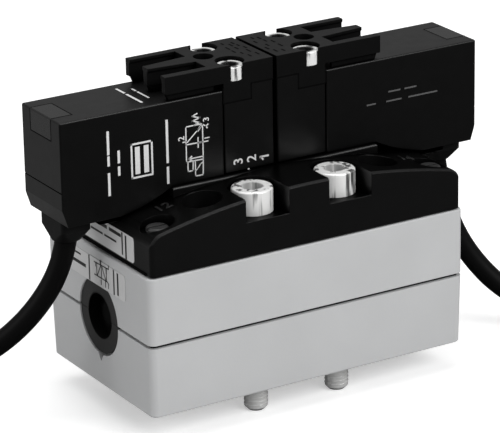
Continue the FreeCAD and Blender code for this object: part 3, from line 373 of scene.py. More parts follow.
def upright(tree):
    """0 on faces that look up, 1 on upright ones; a mask for painted shade on tops."""
    facing = tree.nodes.new("ShaderNodeTexCoord")
    return beyond(tree, axis(tree, facing.outputs["Normal"], "Z"), *UPRIGHT_FADE)


def open_air(tree, reach):
    """0 deep in pockets and corners, 1 out in the open; a mask for painted shade in pockets."""
    pocket = tree.nodes.new("ShaderNodeAmbientOcclusion")
    pocket.samples = POCKET_SAMPLES
    pocket.inputs["Distance"].default_value = reach
    return beyond(tree, pocket.outputs["AO"], *POCKET_FADE)


def choose(tree, principled, mask, inner, outer):
    """The base colour: one colour where the mask is 0, another, worked out, where it is 1."""
    choice = tree.nodes.new("ShaderNodeMix")
    choice.data_type = "RGBA"
    choice.inputs["A"].default_value = (*inner, 1)
    tree.links.new(outer, choice.inputs["B"])
    tree.links.new(mask, choice.inputs["Factor"])
    tree.links.new(choice.outputs["Result"], principled.inputs["Base Color"])


def grey(level):
    return (level, level, level)


def cast_grey():
    """The painted casting of the two body halves."""
    material, tree, principled, place = shader("cast_grey")
    paint = tint(tree, noise(tree, place, 60, 4), (0.50, 0.505, 0.51), (0.53, 0.535, 0.54))
    tree.links.new(paint, principled.inputs["Base Color"])
    roughened(tree, principled, noise(tree, place, 900, 2), 0.44, 0.56)
    relieved(tree, principled, noise(tree, place, 2600, 2), 0.04 * MM, 0.35, 0.2 * MM)
    return material


def moulded_black(name, level, roughness, gloss, shaded_top_gloss=None, pockets=0.0):
    """A black moulding with a fine eroded grain; painted shade can make its top and its pockets darker
    and duller.
    """
    material, tree, principled, place = shader(name)
    dark = (level * 0.9, level * 0.9, level * 0.92)
    light = (level * 1.1, level * 1.1, level * 1.12)
    black = tint(tree, noise(tree, place, 80, 3), dark, light)
    if shaded_top_gloss is None:
        tree.links.new(black, principled.inputs["Base Color"])
        principled.inputs["Specular IOR Level"].default_value = gloss
    else:
        # Painted shade: less gloss on tops and in pockets, and a darker colour on tops, or in pockets
        # where the top keeps its gloss.
        sides = upright(tree)
        painted_shade_gloss = product(tree, spread(tree, sides, shaded_top_gloss, gloss), open_air(tree, pockets))
        tree.links.new(painted_shade_gloss, principled.inputs["Specular IOR Level"])
        clear_of_painted_shade = open_air(tree, pockets) if shaded_top_gloss == gloss else sides
        choose(tree, principled, clear_of_painted_shade, grey(level * 0.15), black)
    marks = noise(tree, place, 400, 3)
    roughened(tree, principled, marks, roughness - GLOSS_SWING, roughness + GLOSS_SWING)
    relieved(tree, principled, noise(tree, place, 3200, 2), 0.03 * MM, 0.4, 0.18 * MM)
    return material


def metal(name, colour, roughness, stretch=(1, 1, 1)):
    """Bare or dark metal with fine marks of the tool."""
    material, tree, principled, place = shader(name)
    principled.inputs["Metallic"].default_value = 1.0
    principled.inputs["Base Color"].default_value = (*colour, 1)
    marks = noise(tree, place, 900, 2, stretch)
    roughened(tree, principled, marks, roughness - GLOSS_SWING, roughness + GLOSS_SWING)
    relieved(tree, principled, marks, 0.002 * MM, 0.1, 0.1 * MM)
    return material


def zinc(name, middle_x, spot, socket_r, socket_shade_level):
    """Bright zinc on socket screws: painted reflections as dark and light stripes down the sides, and
    painted shade in the socket.
    """
    material, tree, principled, place = shader(name)
    # Painted reflections: dark and light stripes down the sides, fixed to the screw.
    reflection_streaks = beyond(tree, noise(tree, place, 620, 2, REFLECTION_STREAK_STRETCH), *REFLECTION_STREAK_FADE)
    # The painted reflections give way to one even level on the threaded tips, so that their ridges
    # show.
    blend = tree.nodes.new("ShaderNodeMix")
    blend.inputs["A"].default_value = TIP_REFLECTION_LEVEL
    tree.links.new(reflection_streaks, blend.inputs["B"])
    tree.links.new(beyond(tree, axis(tree, place, "Z"), *TIP_FADE), blend.inputs["Factor"])
    painted_reflection = blend.outputs["Result"]
    tree.links.new(spread(tree, painted_reflection, 0.80, 0.20), principled.inputs["Metallic"])
    painted_reflection_colour = tint(tree, painted_reflection, grey(0.36), (0.98, 0.98, 0.97))
    # Painted shade: the socket is darker inside.
    away = from_axis(tree, place, (middle_x, 0, 0), (*spot, 0), (1, 1, 0))
    outside = beyond(tree, away, *(socket_r * share for share in SOCKET_SHADE_FADE))
    choose(tree, principled, outside, grey(socket_shade_level), painted_reflection_colour)
    marks = noise(tree, place, 900, 2)
    roughened(tree, principled, marks, 0.16, 0.30)
    relieved(tree, principled, marks, 0.03 * MM, 0.5, 0.12 * MM)
    return material


def bush_finish(name, level, axis_z, eye_r):
    """The dark grey bush; its eye is painted black inside, as shade deep in the bore."""
    material, tree, principled, place = shader(name)
    tone = tint(tree, noise(tree, place, 120, 3), grey(level * 0.92), grey(level * 1.08))
    # Painted shade: black inside the eye.
    away = from_axis(tree, place, (0, 0, axis_z), (0, 0, 0), (0, 1, 1))
    outside = beyond(tree, away, *(eye_r * share for share in EYE_SHADE_FADE))
    choose(tree, principled, outside, grey(0.0015), tone)
    principled.inputs["Specular IOR Level"].default_value = 0.25
    roughened(tree, principled, noise(tree, place, 400, 3), 0.42, 0.52)
    relieved(tree, principled, noise(tree, place, 2400, 2), 0.03 * MM, 0.4, 0.15 * MM)
    return material


def plain(name, colour, roughness, grain=1800, gloss=0.5):
    """A plain coloured plastic or rubber."""
    material, tree, principled, place = shader(name)
    principled.inputs["Base Color"].default_value = (*colour, 1)
    principled.inputs["Specular IOR Level"].default_value = gloss
    marks = noise(tree, place, 500, 3)
    roughened(tree, principled, marks, roughness - GLOSS_SWING, roughness + GLOSS_SWING)
    relieved(tree, principled, noise(tree, place, grain, 2), 0.02 * MM, 0.3, 0.12 * MM)
    return material


MOUNTING_SPOT = (SCREW_PITCH_X / 2, SCREW_PITCH_Y / 2)
CAP_SPOT = (CAP_SCREW_U, CAP_SCREW_Y)
finishes = {
    "body_grey": cast_grey(),
    "black_plate": moulded_black("plate_black", 0.0022, 0.34, 0.42, shaded_top_gloss=0.05, pockets=3.0 * MM),
    "pilot_black": moulded_black("pilot_black", 0.0015, 0.38, 0.34, shaded_top_gloss=0.34, pockets=1.5 * MM),
    "cap_black": moulded_black("cap_black", 0.0024, 0.44, 0.18, shaded_top_gloss=0.18, pockets=2.5 * MM),
    "screw_zinc": zinc("bright_zinc", 0, MOUNTING_SPOT, SOCKET_R, socket_shade_level=0.35),
    "screw_dark": metal("dark_oxide", grey(0.10), 0.40),
    "rubber_black": plain("black_rubber", grey(0.004), 0.6, gloss=0.2),
    "bush_grey": bush_finish("bush_grey", 0.028, AXIS_Z, EYE_R),
    "plug_black": plain("plug_black", grey(0.002), 0.6, gloss=0.1),
    "button_grey": plain("button_grey", grey(0.02), 0.45),
    "spring_steel": metal("spring_wire", (0.62, 0.62, 0.61), 0.30),
    "bare_aluminium": metal("turned_aluminium", (0.80, 0.80, 0.81), 0.34, (12, 1, 1)),
    "core_steel": metal("ground_steel", (0.58, 0.57, 0.56), 0.32, (12, 1, 1)),
    "winding_copper": metal("enamelled_copper", (0.70, 0.32, 0.14), 0.30, (40, 1, 1)),
    "bobbin_white": plain("natural_nylon", (0.72, 0.69, 0.62), 0.50),
    "lens_smoke": plain("smoke_lens", grey(0.008), 0.26, gloss=0.4),
    "cable_black": plain("cable_sheath", grey(0.003), 0.46, grain=900, gloss=0.08),
    "tie_black": plain("tie_black", grey(0.02), 0.5),
    "leads": plain("core_brown", (0.16, 0.06, 0.025), 0.45),
    "label_silver": plain("silver_film", grey(0.60), 0.35),
}
SMALL_ZINC = zinc("small_zinc", PILOT_MID_X, CAP_SPOT, CAP_SOCKET_R, socket_shade_level=0.02)
# A lighter, glossier black for the raised numbers than the plate's own
RAISED_NUMBER_BLACK = moulded_black("raised_black", 0.008, 0.34, 0.5)
WHITE_INK = plain("white_ink", grey(0.72), 0.5)
FAINT_INK = plain("faint_ink", grey(0.09), 0.5)
DARK_INK = plain("dark_ink", grey(0.018), 0.5)
# A flat matte black: painted shadow in the gaps, and the matte marks on the caps, whose darkness is
# partly painted shade
MATTE_PAINTED_SHADE_BLACK = plain("matte_painted_shade_black", grey(0.002), 0.7, gloss=0.05)
slot_of = {part["node"]: part["material_slot"] for part in frame["record"]["subparts"]}


def finish_with(piece, slot, material=None):
    """Gives a piece its slot's finish, or another material."""
    piece.data.materials.clear()
    piece.data.materials.append(material or finishes[slot])


def only(*pieces):
    """Deselects everything, then selects these and makes the first active."""
    bpy.ops.object.select_all(action="DESELECT")
    for piece in pieces:
        piece.select_set(True)
    bpy.context.view_layer.objects.active = pieces[0]


for name, node in nodes.items():
    node.data.materials.clear()
    small = name.endswith("cap_screws")
    node.data.materials.append(SMALL_ZINC if small else finishes[slot_of[name]])


# Prints: flat strokes on a face, given by its rightward, upward and outward directions

FRONT = Matrix(((1, 0, 0), (0, 0, -1), (0, 1, 0)))
LEFT_END = Matrix(((0, 0, -1), (-1, 0, 0), (0, 1, 0)))
BACK = Matrix(((-1, 0, 0), (0, 0, 1), (0, 1, 0)))
RIGHT_END = Matrix(((0, 0, 1), (1, 0, 0), (0, 1, 0)))
TOP = Matrix.Identity(3)
PRINT_LIFT = 0.03

# Heights and depths of the faces, in millimetres like all places and widths of prints
PILOT_FRONT = -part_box("left_coil_housing")[0].y / MM
HOUSING_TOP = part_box("left_coil_housing")[1].z / MM
CAP_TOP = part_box("left_clamp_cap")[1].z / MM
PLATE_END = -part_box("plate_label")[0].x / MM
BODY_END = -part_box("body_label")[0].x / MM
PAD_RISE = 0.05
PLATE_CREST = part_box("pilot_plate")[1].z / MM - PAD_RISE
ARCH_R = 150.0

# Type and lines
CAPITAL_SHARE = 0.7
BOLD_SHARE = 0.02
SIGN_LINE = 0.26
RULE = 0.5

# Thin lines of painted shadow in the gaps: round the caps' tabs, round the lenses, along the plate's
# foot
TAB_GAP = 0.12
SPLIT_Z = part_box("left_pilot_base")[1].z / MM + TAB_GAP / 2
TAB_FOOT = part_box("left_clamp_cap")[0].z / MM - TAB_GAP / 2
TAB_LINE_U = (0.5, 5.55, 12.07)
TAB_SHADOW_W = 0.28
LENS_EDGE = 0.3
LENS_SHADOW_W = 0.2
FOOT_SINK = 0.1
FOOT_SHORT = 2.2
FOOT_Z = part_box("plate_gasket")[1].z / MM - FOOT_SINK
FOOT_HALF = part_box("pilot_plate")[1].y / MM - FOOT_SHORT
FOOT_SHADOW_W = 0.65

# The fuller underside of each coil housing
LIP_FROM = 32.5 * MM
LIP_SLOPE_X = 36.2 * MM
LIP_DROP = 0.8 * MM
LIP_SUNK = 0.9 * MM
LIP_CLEAR = 0.1 * MM

# Marks on the caps: middle across, middle back, half length
CAP_MARK_W = 0.4
CAP_MARKS = (
    (-2.0, 4.4, 0.5), (-4.7, 1.8, 0.7), (-4.1, 5.0, 0.35), (-1.9, -1.7, 0.7), (-3.4, -4.7, 0.5),
    (-3.9, -2.4, 0.35), (-4.8, -0.7, 0.6), (-1.4, -4.3, 0.6), (-1.8, 2.6, 0.35), (-1.3, 0.6, 0.5),
    (-3.1, 1.0, 0.5), (-3.0, 3.4, 0.6), (4.4, 2.2, 0.5), (5.5, 0.9, 0.6), (5.4, -2.1, 0.7),
    (4.1, -5.3, 0.5), (2.6, -4.8, 0.6), (3.2, -0.6, 0.5), (4.3, 4.4, 0.6), (3.1, 5.1, 0.4),
    (2.2, 2.4, 0.5), (2.0, -2.5, 0.6),
)


def joined(name, pieces):
    """Makes one mesh of several, its place in the mesh."""
    only(*pieces)
    if len(pieces) > 1:
        bpy.ops.object.join()
    piece = bpy.context.object
    piece.name = name
    bpy.ops.object.transform_apply(location=True, rotation=True, scale=True)
    return piece


def stroke(face, depth, start, end, width):
    """A flat bar from start to end on a face, in millimetres across and up it."""
    a = Vector((*start, depth)) * MM
    b = Vector((*end, depth)) * MM
    along = b - a
    turn = face @ Matrix.Rotation(math.atan2(along.y, along.x), 3, "Z")
    middle = face @ ((a + b) / 2)
    bpy.ops.object.select_all(action="DESELECT")
    bpy.ops.mesh.primitive_plane_add(size=1, location=middle, rotation=turn.to_euler())
    piece = bpy.context.object
    piece.scale = (along.length + width * MM, width * MM, 1)
    return piece


def lettered(face, depth, text, place, height, turn=0.0, thickness=0.0):
    """A plain number on a face, its middle at the given place."""
    turned = face @ Matrix.Rotation(math.radians(turn), 3, "Z")
    spot = face @ (Vector((*place, depth)) * MM)
    bpy.ops.object.select_all(action="DESELECT")
    bpy.ops.object.text_add(location=spot, rotation=turned.to_euler())
    piece = bpy.context.object
    piece.data.body = text
    piece.data.size = height * MM / CAPITAL_SHARE
    piece.data.align_x = "CENTER"
    piece.data.align_y = "CENTER"
    piece.data.extrude = thickness * MM
    piece.data.offset = height * BOLD_SHARE * MM
    only(piece)
    bpy.ops.object.convert(target="MESH")
    return bpy.context.object


def printed(name, slot, material, pieces):
    """Joins strokes and numbers into one print of the valve."""
    piece = joined(name, pieces)
    finish_with(piece, slot, material)
    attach(piece, "valve")


def polyline(face, depth, points, width):
    """Strokes from each point to the next."""
    return [stroke(face, depth, a, b, width) for a, b in zip(points, points[1:])]


def words(face, depth, *lines):
    """Plain bars in place of printed lines: start, end, height, and where each word lies, as shares."""
    bars = []
    for start, end, height, spans in lines:
        a, b = Vector(start), Vector(end)
        bars += [stroke(face, depth, a.lerp(b, low), a.lerp(b, high), height) for low, high in spans]
    return bars


def pilot_symbol():
    """The standard sign of a 3/2 solenoid valve, standing upright, and its port numbers."""
    depth = PILOT_FRONT + PRINT_LIFT
    lines = [
        [(-20.5, 53.15), (-20.5, 60.55), (-16.65, 60.55), (-16.65, 53.1), (-20.5, 53.15)],
        [(-20.5, 56.8), (-16.65, 56.75)],
        [(-20.2, 57.3), (-16.9, 60.2)],
        [(-21.2, 57.45), (-20.5, 57.45)],
        [(-17.75, 57.8), (-17.75, 55.8)],
        [(-17.75, 56.7), (-15.5, 56.7)],
        [(-18.6, 60.6), (-17.3, 60.9), (-18.9, 61.5), (-17.3, 61.9), (-18.95, 62.5), (-17.9, 62.9)],
        [(-16.65, 60.4), (-15.9, 59.9), (-15.4, 60.2)],
        [(-15.9, 59.9), (-15.6, 59.5)],
        [(-19.9, 53.7), (-16.7, 53.7)],
        [(-20.2, 53.1), (-20.2, 51.15), (-19.05, 51.1), (-19.0, 53.0)],
        [(-18.5, 53.0), (-18.5, 49.85), (-16.75, 49.8), (-16.65, 53.0)],
        [(-18.4, 51.0), (-17.9, 51.4), (-17.3, 52.2), (-16.85, 52.4)],
    ]
    pieces = []
    for line in lines:
        pieces += polyline(FRONT, depth, line, SIGN_LINE)
    pieces += [
        stroke(FRONT, depth, (-17.7, 59.35), (-17.1, 60.05), 0.5),
        stroke(FRONT, depth, (-19.9, 53.7), (-19.35, 54.1), 0.35),
        stroke(FRONT, depth, (-19.9, 53.7), (-19.35, 53.3), 0.35),
        lettered(FRONT, depth, "2", (-21.5, 58.3), 1.35, 90),
        lettered(FRONT, depth, "3", (-15.75, 61.3), 1.35, 90),
        lettered(FRONT, depth, "1", (-15.6, 57.4), 1.2, 90),
    ]
    printed("left_pilot_symbol", None, WHITE_INK, pieces)


def base_numbers():
    """The port numbers low on the front of the left pilot's base."""
    depth = PILOT_FRONT + PRINT_LIFT
    pieces = [
        lettered(FRONT, depth, "3", (-8.45, 51.0), 2.1, 90),
        lettered(FRONT, depth, "2", (-5.3, 51.05), 2.1, 90),
        stroke(FRONT, depth, (-3.3, 50.95), (-1.55, 50.95), 0.42),
        stroke(FRONT, depth, (-3.2, 50.9), (-2.75, 50.35), 0.34),
        stroke(FRONT, depth, (-6.25, 48.95), (-6.05, 48.95), 0.25),
    ]
    printed("left_base_numbers", None, WHITE_INK, pieces)


def housing_bars():
    """Plain bars where the photograph has printed lines, on both housings."""
    depth = PILOT_FRONT + PRINT_LIFT
    left = words(
        FRONT,
        depth,
        ((-38.1, 49.8), (-38.1, 62.7), 0.55, [(0, 0.33), (0.48, 0.6), (0.66, 1)]),
        ((-35.8, 53.6), (-35.8, 58.3), 0.55, [(0, 0.3), (0.55, 1)]),
        ((-24.8, 49.7), (-24.8, 62.6), 0.55, [(0, 0.24), (0.34, 1)]),
    )
    box = [(-32.9, 52.2), (-32.9, 59.2), (-28.3, 59.2), (-28.3, 52.2), (-32.9, 52.2)]
    left += polyline(FRONT, depth, box, 0.4)
    left += [
        stroke(FRONT, depth, (-31.6, 53.4), (-31.6, 58.0), 1.1),
        stroke(FRONT, depth, (-29.6, 53.4), (-29.6, 58.0), 1.1),
    ]
    printed("left_housing_bars", None, WHITE_INK, left)
    top = words(
        TOP,
        HOUSING_TOP + PRINT_LIFT,
        ((-28.8, 4.9), (-28.8, -5.2), 0.55, [(0, 0.3), (0.42, 1)]),
        ((-26.2, 3.2), (-26.2, -3.4), 0.45, [(0, 0.2), (0.35, 1)]),
    )
    printed("left_top_bars", None, WHITE_INK, top)
    right = words(
        FRONT,
        depth,
        ((22.5, 57.1), (39.6, 57.1), 0.35, [(0, 0.11), (0.28, 0.48), (0.6, 1)]),
        ((27.8, 59.1), (34.4, 59.1), 0.35, [(0, 0.4), (0.6, 1)]),
    )
    printed("right_housing_bars", None, FAINT_INK, right)


def plate_label_print():
    """The rule and the generic bars on the upper label. Across is -Y here."""
    depth = PLATE_END + PRINT_LIFT
    pieces = [stroke(LEFT_END, depth, (9.85, 37.7), (9.85, 41.9), 0.55)]
    pieces += words(
        LEFT_END,
        depth,
        ((11.3, 37.0), (11.3, 41.6), 0.6, [(0, 0.25), (0.3, 0.55), (0.6, 1)]),
        ((-11.6, 41.3), (9.0, 41.3), 0.75, [(0, 0.28), (0.36, 0.72), (0.8, 1)]),
        ((-11.6, 39.4), (7.2, 39.4), 0.45, [(0, 0.4), (0.46, 0.7), (0.76, 1)]),
    )
    printed("plate_label_print", None, DARK_INK, pieces)


def body_label_print():
    """The rules, a generic bar or two, and the standard sign of a 5/2 valve on the lower label."""
    depth = BODY_END + PRINT_LIFT
    low, high = 28.4, 33.3
    pieces = [
        stroke(LEFT_END, depth, (-3.05, low), (-3.05, high), RULE),
        stroke(LEFT_END, depth, (7.2, low), (7.2, high), RULE),
    ]
    pieces += words(
        LEFT_END,
        depth,
        ((8.8, 28.8), (8.8, 33.0), 0.6, [(0, 0.3), (0.36, 0.62), (0.68, 1)]),
        ((-11.0, 32.5), (-6.8, 32.5), 0.4, [(0, 0.4), (0.5, 1)]),
        ((-11.0, 30.6), (-4.9, 30.6), 0.75, [(0, 0.3), (0.4, 1)]),
    )
    lines = [
        [(-0.9, 32.75), (5.1, 32.95), (5.1, 33.6)],
        [(-0.9, 30.05), (4.4, 30.05), (5.0, 29.7), (4.9, 28.8)],
        [(0.1, 32.8), (0.1, 30.05)],
        [(2.1, 32.85), (2.1, 30.05)],
        [(4.1, 32.9), (4.1, 30.05)],
        [(0.4, 30.3), (1.7, 32.5)],
        [(2.5, 32.5), (3.7, 30.3)],
        [(3.7, 30.0), (3.7, 28.7)],
        [(-0.3, 32.75), (-0.3, 32.0)],
    ]
    for line in lines:
        pieces += polyline(LEFT_END, depth, line, SIGN_LINE)
    pieces += [
        stroke(LEFT_END, depth, (1.75, 33.05), (1.75, 33.6), 0.5),
        stroke(LEFT_END, depth, (1.85, 28.7), (1.85, 29.5), 0.3),
        stroke(LEFT_END, depth, (4.1, 32.7), (4.1, 31.8), 0.4),
    ]
    printed("body_label_print", None, DARK_INK, pieces)


def plate_top(x):
    """Height of the plate's arched top."""
    return PLATE_CREST - ARCH_R + math.sqrt(ARCH_R**2 - x**2)


def moulded_numbers():
    """The raised numbers of the two manual overrides, following the plate's arched top."""
    pieces = []
    for text, x, y in (("12", -28.0, -11.3), ("14", 28.3, -13.3)):
        tilt = Matrix.Rotation(math.asin(x / ARCH_R), 3, "Y")
        across, up, depth = tilt.transposed() @ Vector((x, y, plate_top(x)))
        pieces.append(lettered(tilt, depth, text, (across, up), 2.6, thickness=0.18))
    printed("override_numbers", "black_plate", RAISED_NUMBER_BLACK, pieces)


def tab_seam_shadows():
    """Painted shadow lines in the gaps round the caps' tabs, on the front and the back."""
    inner, step, outer = TAB_LINE_U
    corners = ((inner, SPLIT_Z), (step, SPLIT_Z), (step, TAB_FOOT), (outer, TAB_FOOT), (outer, SPLIT_Z))
    pieces = []
    for face, along in ((FRONT, 1), (BACK, -1)):
        for side in (-1, 1):
            line = [(along * (PILOT_MID_X / MM + side * u), z) for u, z in corners]
            pieces += polyline(face, PILOT_FRONT + PRINT_LIFT, line, TAB_SHADOW_W)
    printed("tab_seam_shadows", None, MATTE_PAINTED_SHADE_BLACK, pieces)


def foot_seam_shadow():
    """A painted shadow line for the gap under the plate, in front of the upper label's foot."""
    depth = PLATE_END + PRINT_LIFT
    z = FOOT_Z + FOOT_SHADOW_W / 2
    line = stroke(LEFT_END, depth, (-FOOT_HALF, z), (FOOT_HALF, z), FOOT_SHADOW_W)
    printed("foot_seam_shadow", None, MATTE_PAINTED_SHADE_BLACK, [line])


def lens_seam_shadows():
    """Painted shadow lines in the gaps round each lens, over the end and the top of its housing."""
    pieces = []
    for face, side, name in ((LEFT_END, -1, "left"), (RIGHT_END, 1, "right")):
        low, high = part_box(name + "_signal_lens")
        half, foot, top = high.y / MM, low.z / MM, HOUSING_TOP - LENS_EDGE
        inner, end = sorted((abs(low.x) / MM, abs(high.x) / MM))
        line = [(half, top), (half, foot), (-half, foot), (-half, top)]
        pieces += polyline(face, end + PRINT_LIFT, line, LENS_SHADOW_W)
        inner, edge = side * inner, side * (end - LENS_EDGE)
        line = [(edge, half), (inner, half), (inner, -half), (edge, -half)]
        pieces += polyline(TOP, HOUSING_TOP + PRINT_LIFT, line, LENS_SHADOW_W)
    printed("lens_seam_shadows", None, MATTE_PAINTED_SHADE_BLACK, pieces)


def housing_lips():
    """The fuller underside of each housing beside its grip: one block, cut, copied and turned."""
    low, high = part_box("right_cable_grip")
    inner, outer = LIP_FROM, low.x - LIP_CLEAR
    foot = high.z - LIP_DROP
    top = high.z + LIP_SUNK
    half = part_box("right_coil_housing")[1].y - LIP_CLEAR
    bpy.ops.object.select_all(action="DESELECT")
    bpy.ops.mesh.primitive_cube_add(size=1, location=((inner + outer) / 2, 0, (foot + top) / 2))
    lip = bpy.context.object
    lip.name = "right_housing_lip"
    lip.scale = (outer - inner, 2 * half, top - foot)
    bpy.ops.object.transform_apply(location=True, rotation=True, scale=True)
    bpy.ops.object.mode_set(mode="EDIT")
    bpy.ops.mesh.select_all(action="SELECT")
    corner = Vector((LIP_SLOPE_X, 0, foot))
    slope = corner - Vector((inner, 0, top))
    across = (slope.z, 0, -slope.x)
    bpy.ops.mesh.bisect(plane_co=corner, plane_no=across, use_fill=True, clear_outer=True)
    bpy.ops.object.mode_set(mode="OBJECT")
    other = lip.copy()
    other.data = lip.data.copy()
    other.name = "left_housing_lip"
    bpy.context.collection.objects.link(other)
    other.rotation_euler.z = math.pi
    other.location.x = 2 * PILOT_MID_X
    only(other)
    bpy.ops.object.transform_apply(location=True, rotation=True, scale=True)
    for piece in (lip, other):
        finish_with(piece, "pilot_black")
        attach(piece, "valve")


def cap_marks():
    """Flat matte black marks near the gap on top of the two caps, for shallow sunk marks; their
    darkness is partly painted shade.
    """
    depth = CAP_TOP + PRINT_LIFT
    pieces = []
    for x, y, half in CAP_MARKS:
        pieces.append(stroke(TOP, depth, (x, y - half), (x, y + half), CAP_MARK_W))
    printed("cap_marks", None, MATTE_PAINTED_SHADE_BLACK, pieces)


pilot_symbol()
base_numbers()
housing_bars()
tab_seam_shadows()
foot_seam_shadow()
lens_seam_shadows()
housing_lips()
cap_marks()
plate_label_print()
body_label_print()
moulded_numbers()


# Threads on the screw tips, which the solids leave plain

THREAD_R = 2.4 * MM
THREAD_PITCH = 0.8 * MM
THREAD_TURNS = 6
THREAD_FROM = 0.9 * MM
THREAD_RIDGE = 0.3 * MM
THREAD_SUNK = 0.55
THREAD_STEPS = 24


def wound_ridge(spot):
    """A three-cornered ridge wound round the axis of one tip."""
    edge_on = (math.pi / 2, math.pi / 2, 0)
    bpy.ops.object.select_all(action="DESELECT")
    bpy.ops.mesh.primitive_circle_add(
        vertices=3, radius=THREAD_RIDGE, location=(*spot, 0), rotation=edge_on
    )
    ridge = bpy.context.object
    bpy.ops.object.transform_apply(location=False, rotation=True, scale=True)
    bpy.ops.object.mode_set(mode="EDIT")
    bpy.ops.mesh.select_all(action="SELECT")
    bpy.ops.transform.translate(value=(THREAD_R - THREAD_RIDGE * THREAD_SUNK, 0, THREAD_FROM))
    bpy.ops.object.mode_set(mode="OBJECT")
    wind = ridge.modifiers.new("wind", "SCREW")
    wind.screw_offset = THREAD_PITCH
    wind.iterations = THREAD_TURNS
    wind.steps = THREAD_STEPS
    wind.render_steps = THREAD_STEPS
    bpy.ops.object.modifier_apply(modifier=wind.name)
    bpy.ops.object.mode_set(mode="EDIT")
    bpy.ops.mesh.select_all(action="SELECT")
    bpy.ops.mesh.fill_holes(sides=3)
    bpy.ops.mesh.select_all(action="SELECT")
    bpy.ops.mesh.normals_make_consistent(inside=False)
    bpy.ops.object.mode_set(mode="OBJECT")
    bpy.ops.object.shade_smooth_by_angle(angle=SMOOTH_BELOW)
    return ridge


def screw_threads():
    """One tip's thread, then copies of it on the other three."""
    spots = [(sx * SCREW_PITCH_X / 2, sy * SCREW_PITCH_Y / 2) for sx in (-1, 1) for sy in (-1, 1)]
    ridge = wound_ridge(spots[0])
    ridges = [ridge]
    for x, y in spots[1:]:
        copy = ridge.copy()
        copy.data = ridge.data.copy()
        copy.location = (x, y, 0)
        bpy.context.scene.collection.objects.link(copy)
        ridges.append(copy)
    for number, piece in enumerate(ridges, 1):
        only(piece)
        bpy.ops.object.transform_apply(location=True, rotation=True, scale=True)
        piece.name = "screw_thread_" + str(number)
        finish_with(piece, "screw_zinc")
        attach(piece, "valve")


screw_threads()


# Cables and their stripped ends

CORE_COLOURS = (
    ("brown", (0.16, 0.06, 0.025)),
    ("blue", (0.03, 0.08, 0.30)),
    ("black", (0.02, 0.02, 0.02)),
)


def rod(name, start, direction, length, radius):
    """A round rod from a point, its ends lightly chamfered."""
    middle = start + direction * (length / 2)
    turn = direction.to_track_quat("Z", "Y").to_euler()
    bpy.ops.object.select_all(action="DESELECT")
    bpy.ops.mesh.primitive_cylinder_add(
        vertices=ROD_SIDES, radius=radius, depth=length, location=middle, rotation=turn
    )
    piece = bpy.context.object
    piece.name = name
    bpy.ops.object.mode_set(mode="EDIT")
    bpy.ops.mesh.select_mode(type="FACE")
    bpy.ops.mesh.select_all(action="DESELECT")
    bpy.ops.object.mode_set(mode="OBJECT")
    for face in piece.data.polygons:
        face.select = abs(face.normal.z) > 0.9
    bpy.ops.object.mode_set(mode="EDIT")
    bpy.ops.mesh.region_to_loop()
    bpy.ops.mesh.bevel(offset=radius * ROD_CHAMFER, segments=2)
    bpy.ops.object.mode_set(mode="OBJECT")
    bpy.ops.object.shade_smooth_by_angle(angle=SMOOTH_BELOW)
    bpy.ops.object.transform_apply(location=True, rotation=True, scale=True)
    return piece


def stripped_cores(name, side, end):
    """The three coloured cores and their ferrules, lying back along the hank."""
    pieces = []
    drop = (TOP_LANE_Z - FERRULE_END_Z) / (CORE_L + FERRULE_L)
    for row, (hue, colour) in zip((-1, 0, 1), CORE_COLOURS):
        aim = Vector((-side, row * CORE_FAN, -drop)).normalized()
        start = end + Vector((0, row * 2 * CORE_R, 0))
        core = rod(name + "_core_" + hue, start, aim, CORE_L, CORE_R)
        finish_with(core, "leads", plain("core_" + hue, colour, 0.45))
        ferrule = rod(name + "_ferrule_" + hue, start + aim * CORE_L, aim, FERRULE_L, FERRULE_R)
        finish_with(ferrule, "leads", finishes["screw_zinc"])
        pieces += [core, ferrule]
    for piece in pieces:
        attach(piece, "valve")
    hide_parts(name + "_lead_ends")
    return pieces


def make_cable(name, side, route, near_fold):
    """One cable from its grip to the end of its hank, with its cores."""
    wound = hank_points(side, near_fold)
    cable = cable_curve(name + "_whole_cable", route + wound)
    finish_with(cable, "cable_black")
    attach(cable, "valve")
    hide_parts(name + "_cable", name + "_cable_hank")
    cores = stripped_cores(name, side, wound[-1])


make_cable("left", -1, LEFT_ROUTE, LEFT_FOLD_X)
make_cable("right", 1, RIGHT_ROUTE, RIGHT_FOLD_X)


# Floor, backdrop and lamps

FLOOR_SIZE = 6
FLOOR_PAPER = 0.80
FLOOR_IN_FRONT = 0.06
FLOOR_BEHIND = 0.30
FLOOR_FADE_Y = (-0.04, 0.12)
FLOOR_GLOW = 0.45
ROOM_LIGHT = 0.25
ROOM_REFLECTED = 0.30

# Name, place, aim, size and watts
LAMPS = (
    ("key_front", (0.35, -0.9, 0.75), (0, 0, 0.03), (0.8, 0.6), 9),
    ("top_soft", (-0.1, 0.15, 1.0), (0, 0, 0.04), (0.9, 0.9), 6),
    ("fill_left", (-1.1, 0.25, 0.45), (0, 0, 0.03), (0.6, 0.6), 2.8),
)


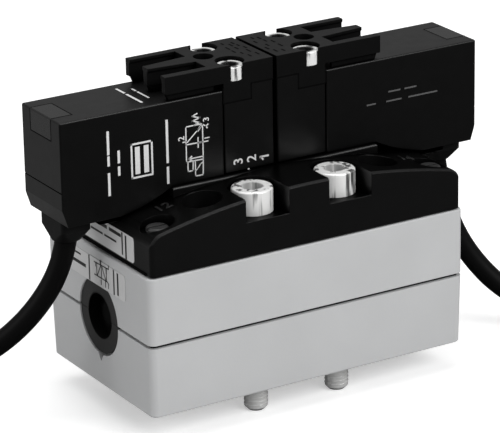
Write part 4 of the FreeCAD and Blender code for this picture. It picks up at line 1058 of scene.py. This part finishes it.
def make_floor():
    """White paper to the eye, but dull in reflections, as if a dark card lay in front."""
    bpy.ops.object.select_all(action="DESELECT")
    bpy.ops.mesh.primitive_plane_add(size=FLOOR_SIZE, location=(0, 0, 0))
    floor = bpy.context.object
    floor.name = "floor"
    material, tree, principled, place = shader("paper_floor")
    principled.inputs["Roughness"].default_value = 0.9
    principled.inputs["Specular IOR Level"].default_value = 0.0
    rays = tree.nodes.new("ShaderNodeLightPath")
    paper = tree.nodes.new("ShaderNodeMix")
    paper.data_type = "RGBA"
    paper.inputs["A"].default_value = (*grey(FLOOR_PAPER), 1)
    back = beyond(tree, axis(tree, place, "Y"), *FLOOR_FADE_Y)
    tree.links.new(tint(tree, back, grey(FLOOR_IN_FRONT), grey(FLOOR_BEHIND)), paper.inputs["B"])
    tree.links.new(rays.outputs["Is Glossy Ray"], paper.inputs["Factor"])
    tree.links.new(paper.outputs["Result"], principled.inputs["Base Color"])
    principled.inputs["Emission Color"].default_value = (1, 1, 1, 1)
    glow = spread(tree, rays.outputs["Is Camera Ray"], 0.0, FLOOR_GLOW)
    tree.links.new(glow, principled.inputs["Emission Strength"])
    floor.data.materials.append(material)


def make_lamp(name, place, aim, size, power):
    """A soft rectangular lamp."""
    bpy.ops.object.light_add(type="AREA", location=place)
    lamp = bpy.context.object
    lamp.name = name
    lamp.data.shape = "RECTANGLE"
    lamp.data.size = size[0]
    lamp.data.size_y = size[1]
    lamp.data.energy = power
    lamp.rotation_euler = (Vector(aim) - Vector(place)).to_track_quat("-Z", "Y").to_euler()


def make_world():
    """A white sky for the camera, a grey one in reflections, a dim room for everything else."""
    world = bpy.data.worlds.new("studio")
    bpy.context.scene.world = world
    world.use_nodes = True
    tree = world.node_tree
    background = tree.nodes["Background"]
    background.inputs["Color"].default_value = (1, 1, 1, 1)
    rays = tree.nodes.new("ShaderNodeLightPath")
    seen = tree.nodes.new("ShaderNodeMix")
    room = spread(tree, rays.outputs["Is Glossy Ray"], ROOM_LIGHT, ROOM_REFLECTED)
    tree.links.new(room, seen.inputs["A"])
    seen.inputs["B"].default_value = 1.0
    tree.links.new(rays.outputs["Is Camera Ray"], seen.inputs["Factor"])
    tree.links.new(seen.outputs["Result"], background.inputs["Strength"])


make_floor()
make_world()
for lamp in LAMPS:
    make_lamp(*lamp)
bpy.context.scene.view_settings.view_transform = "Standard"
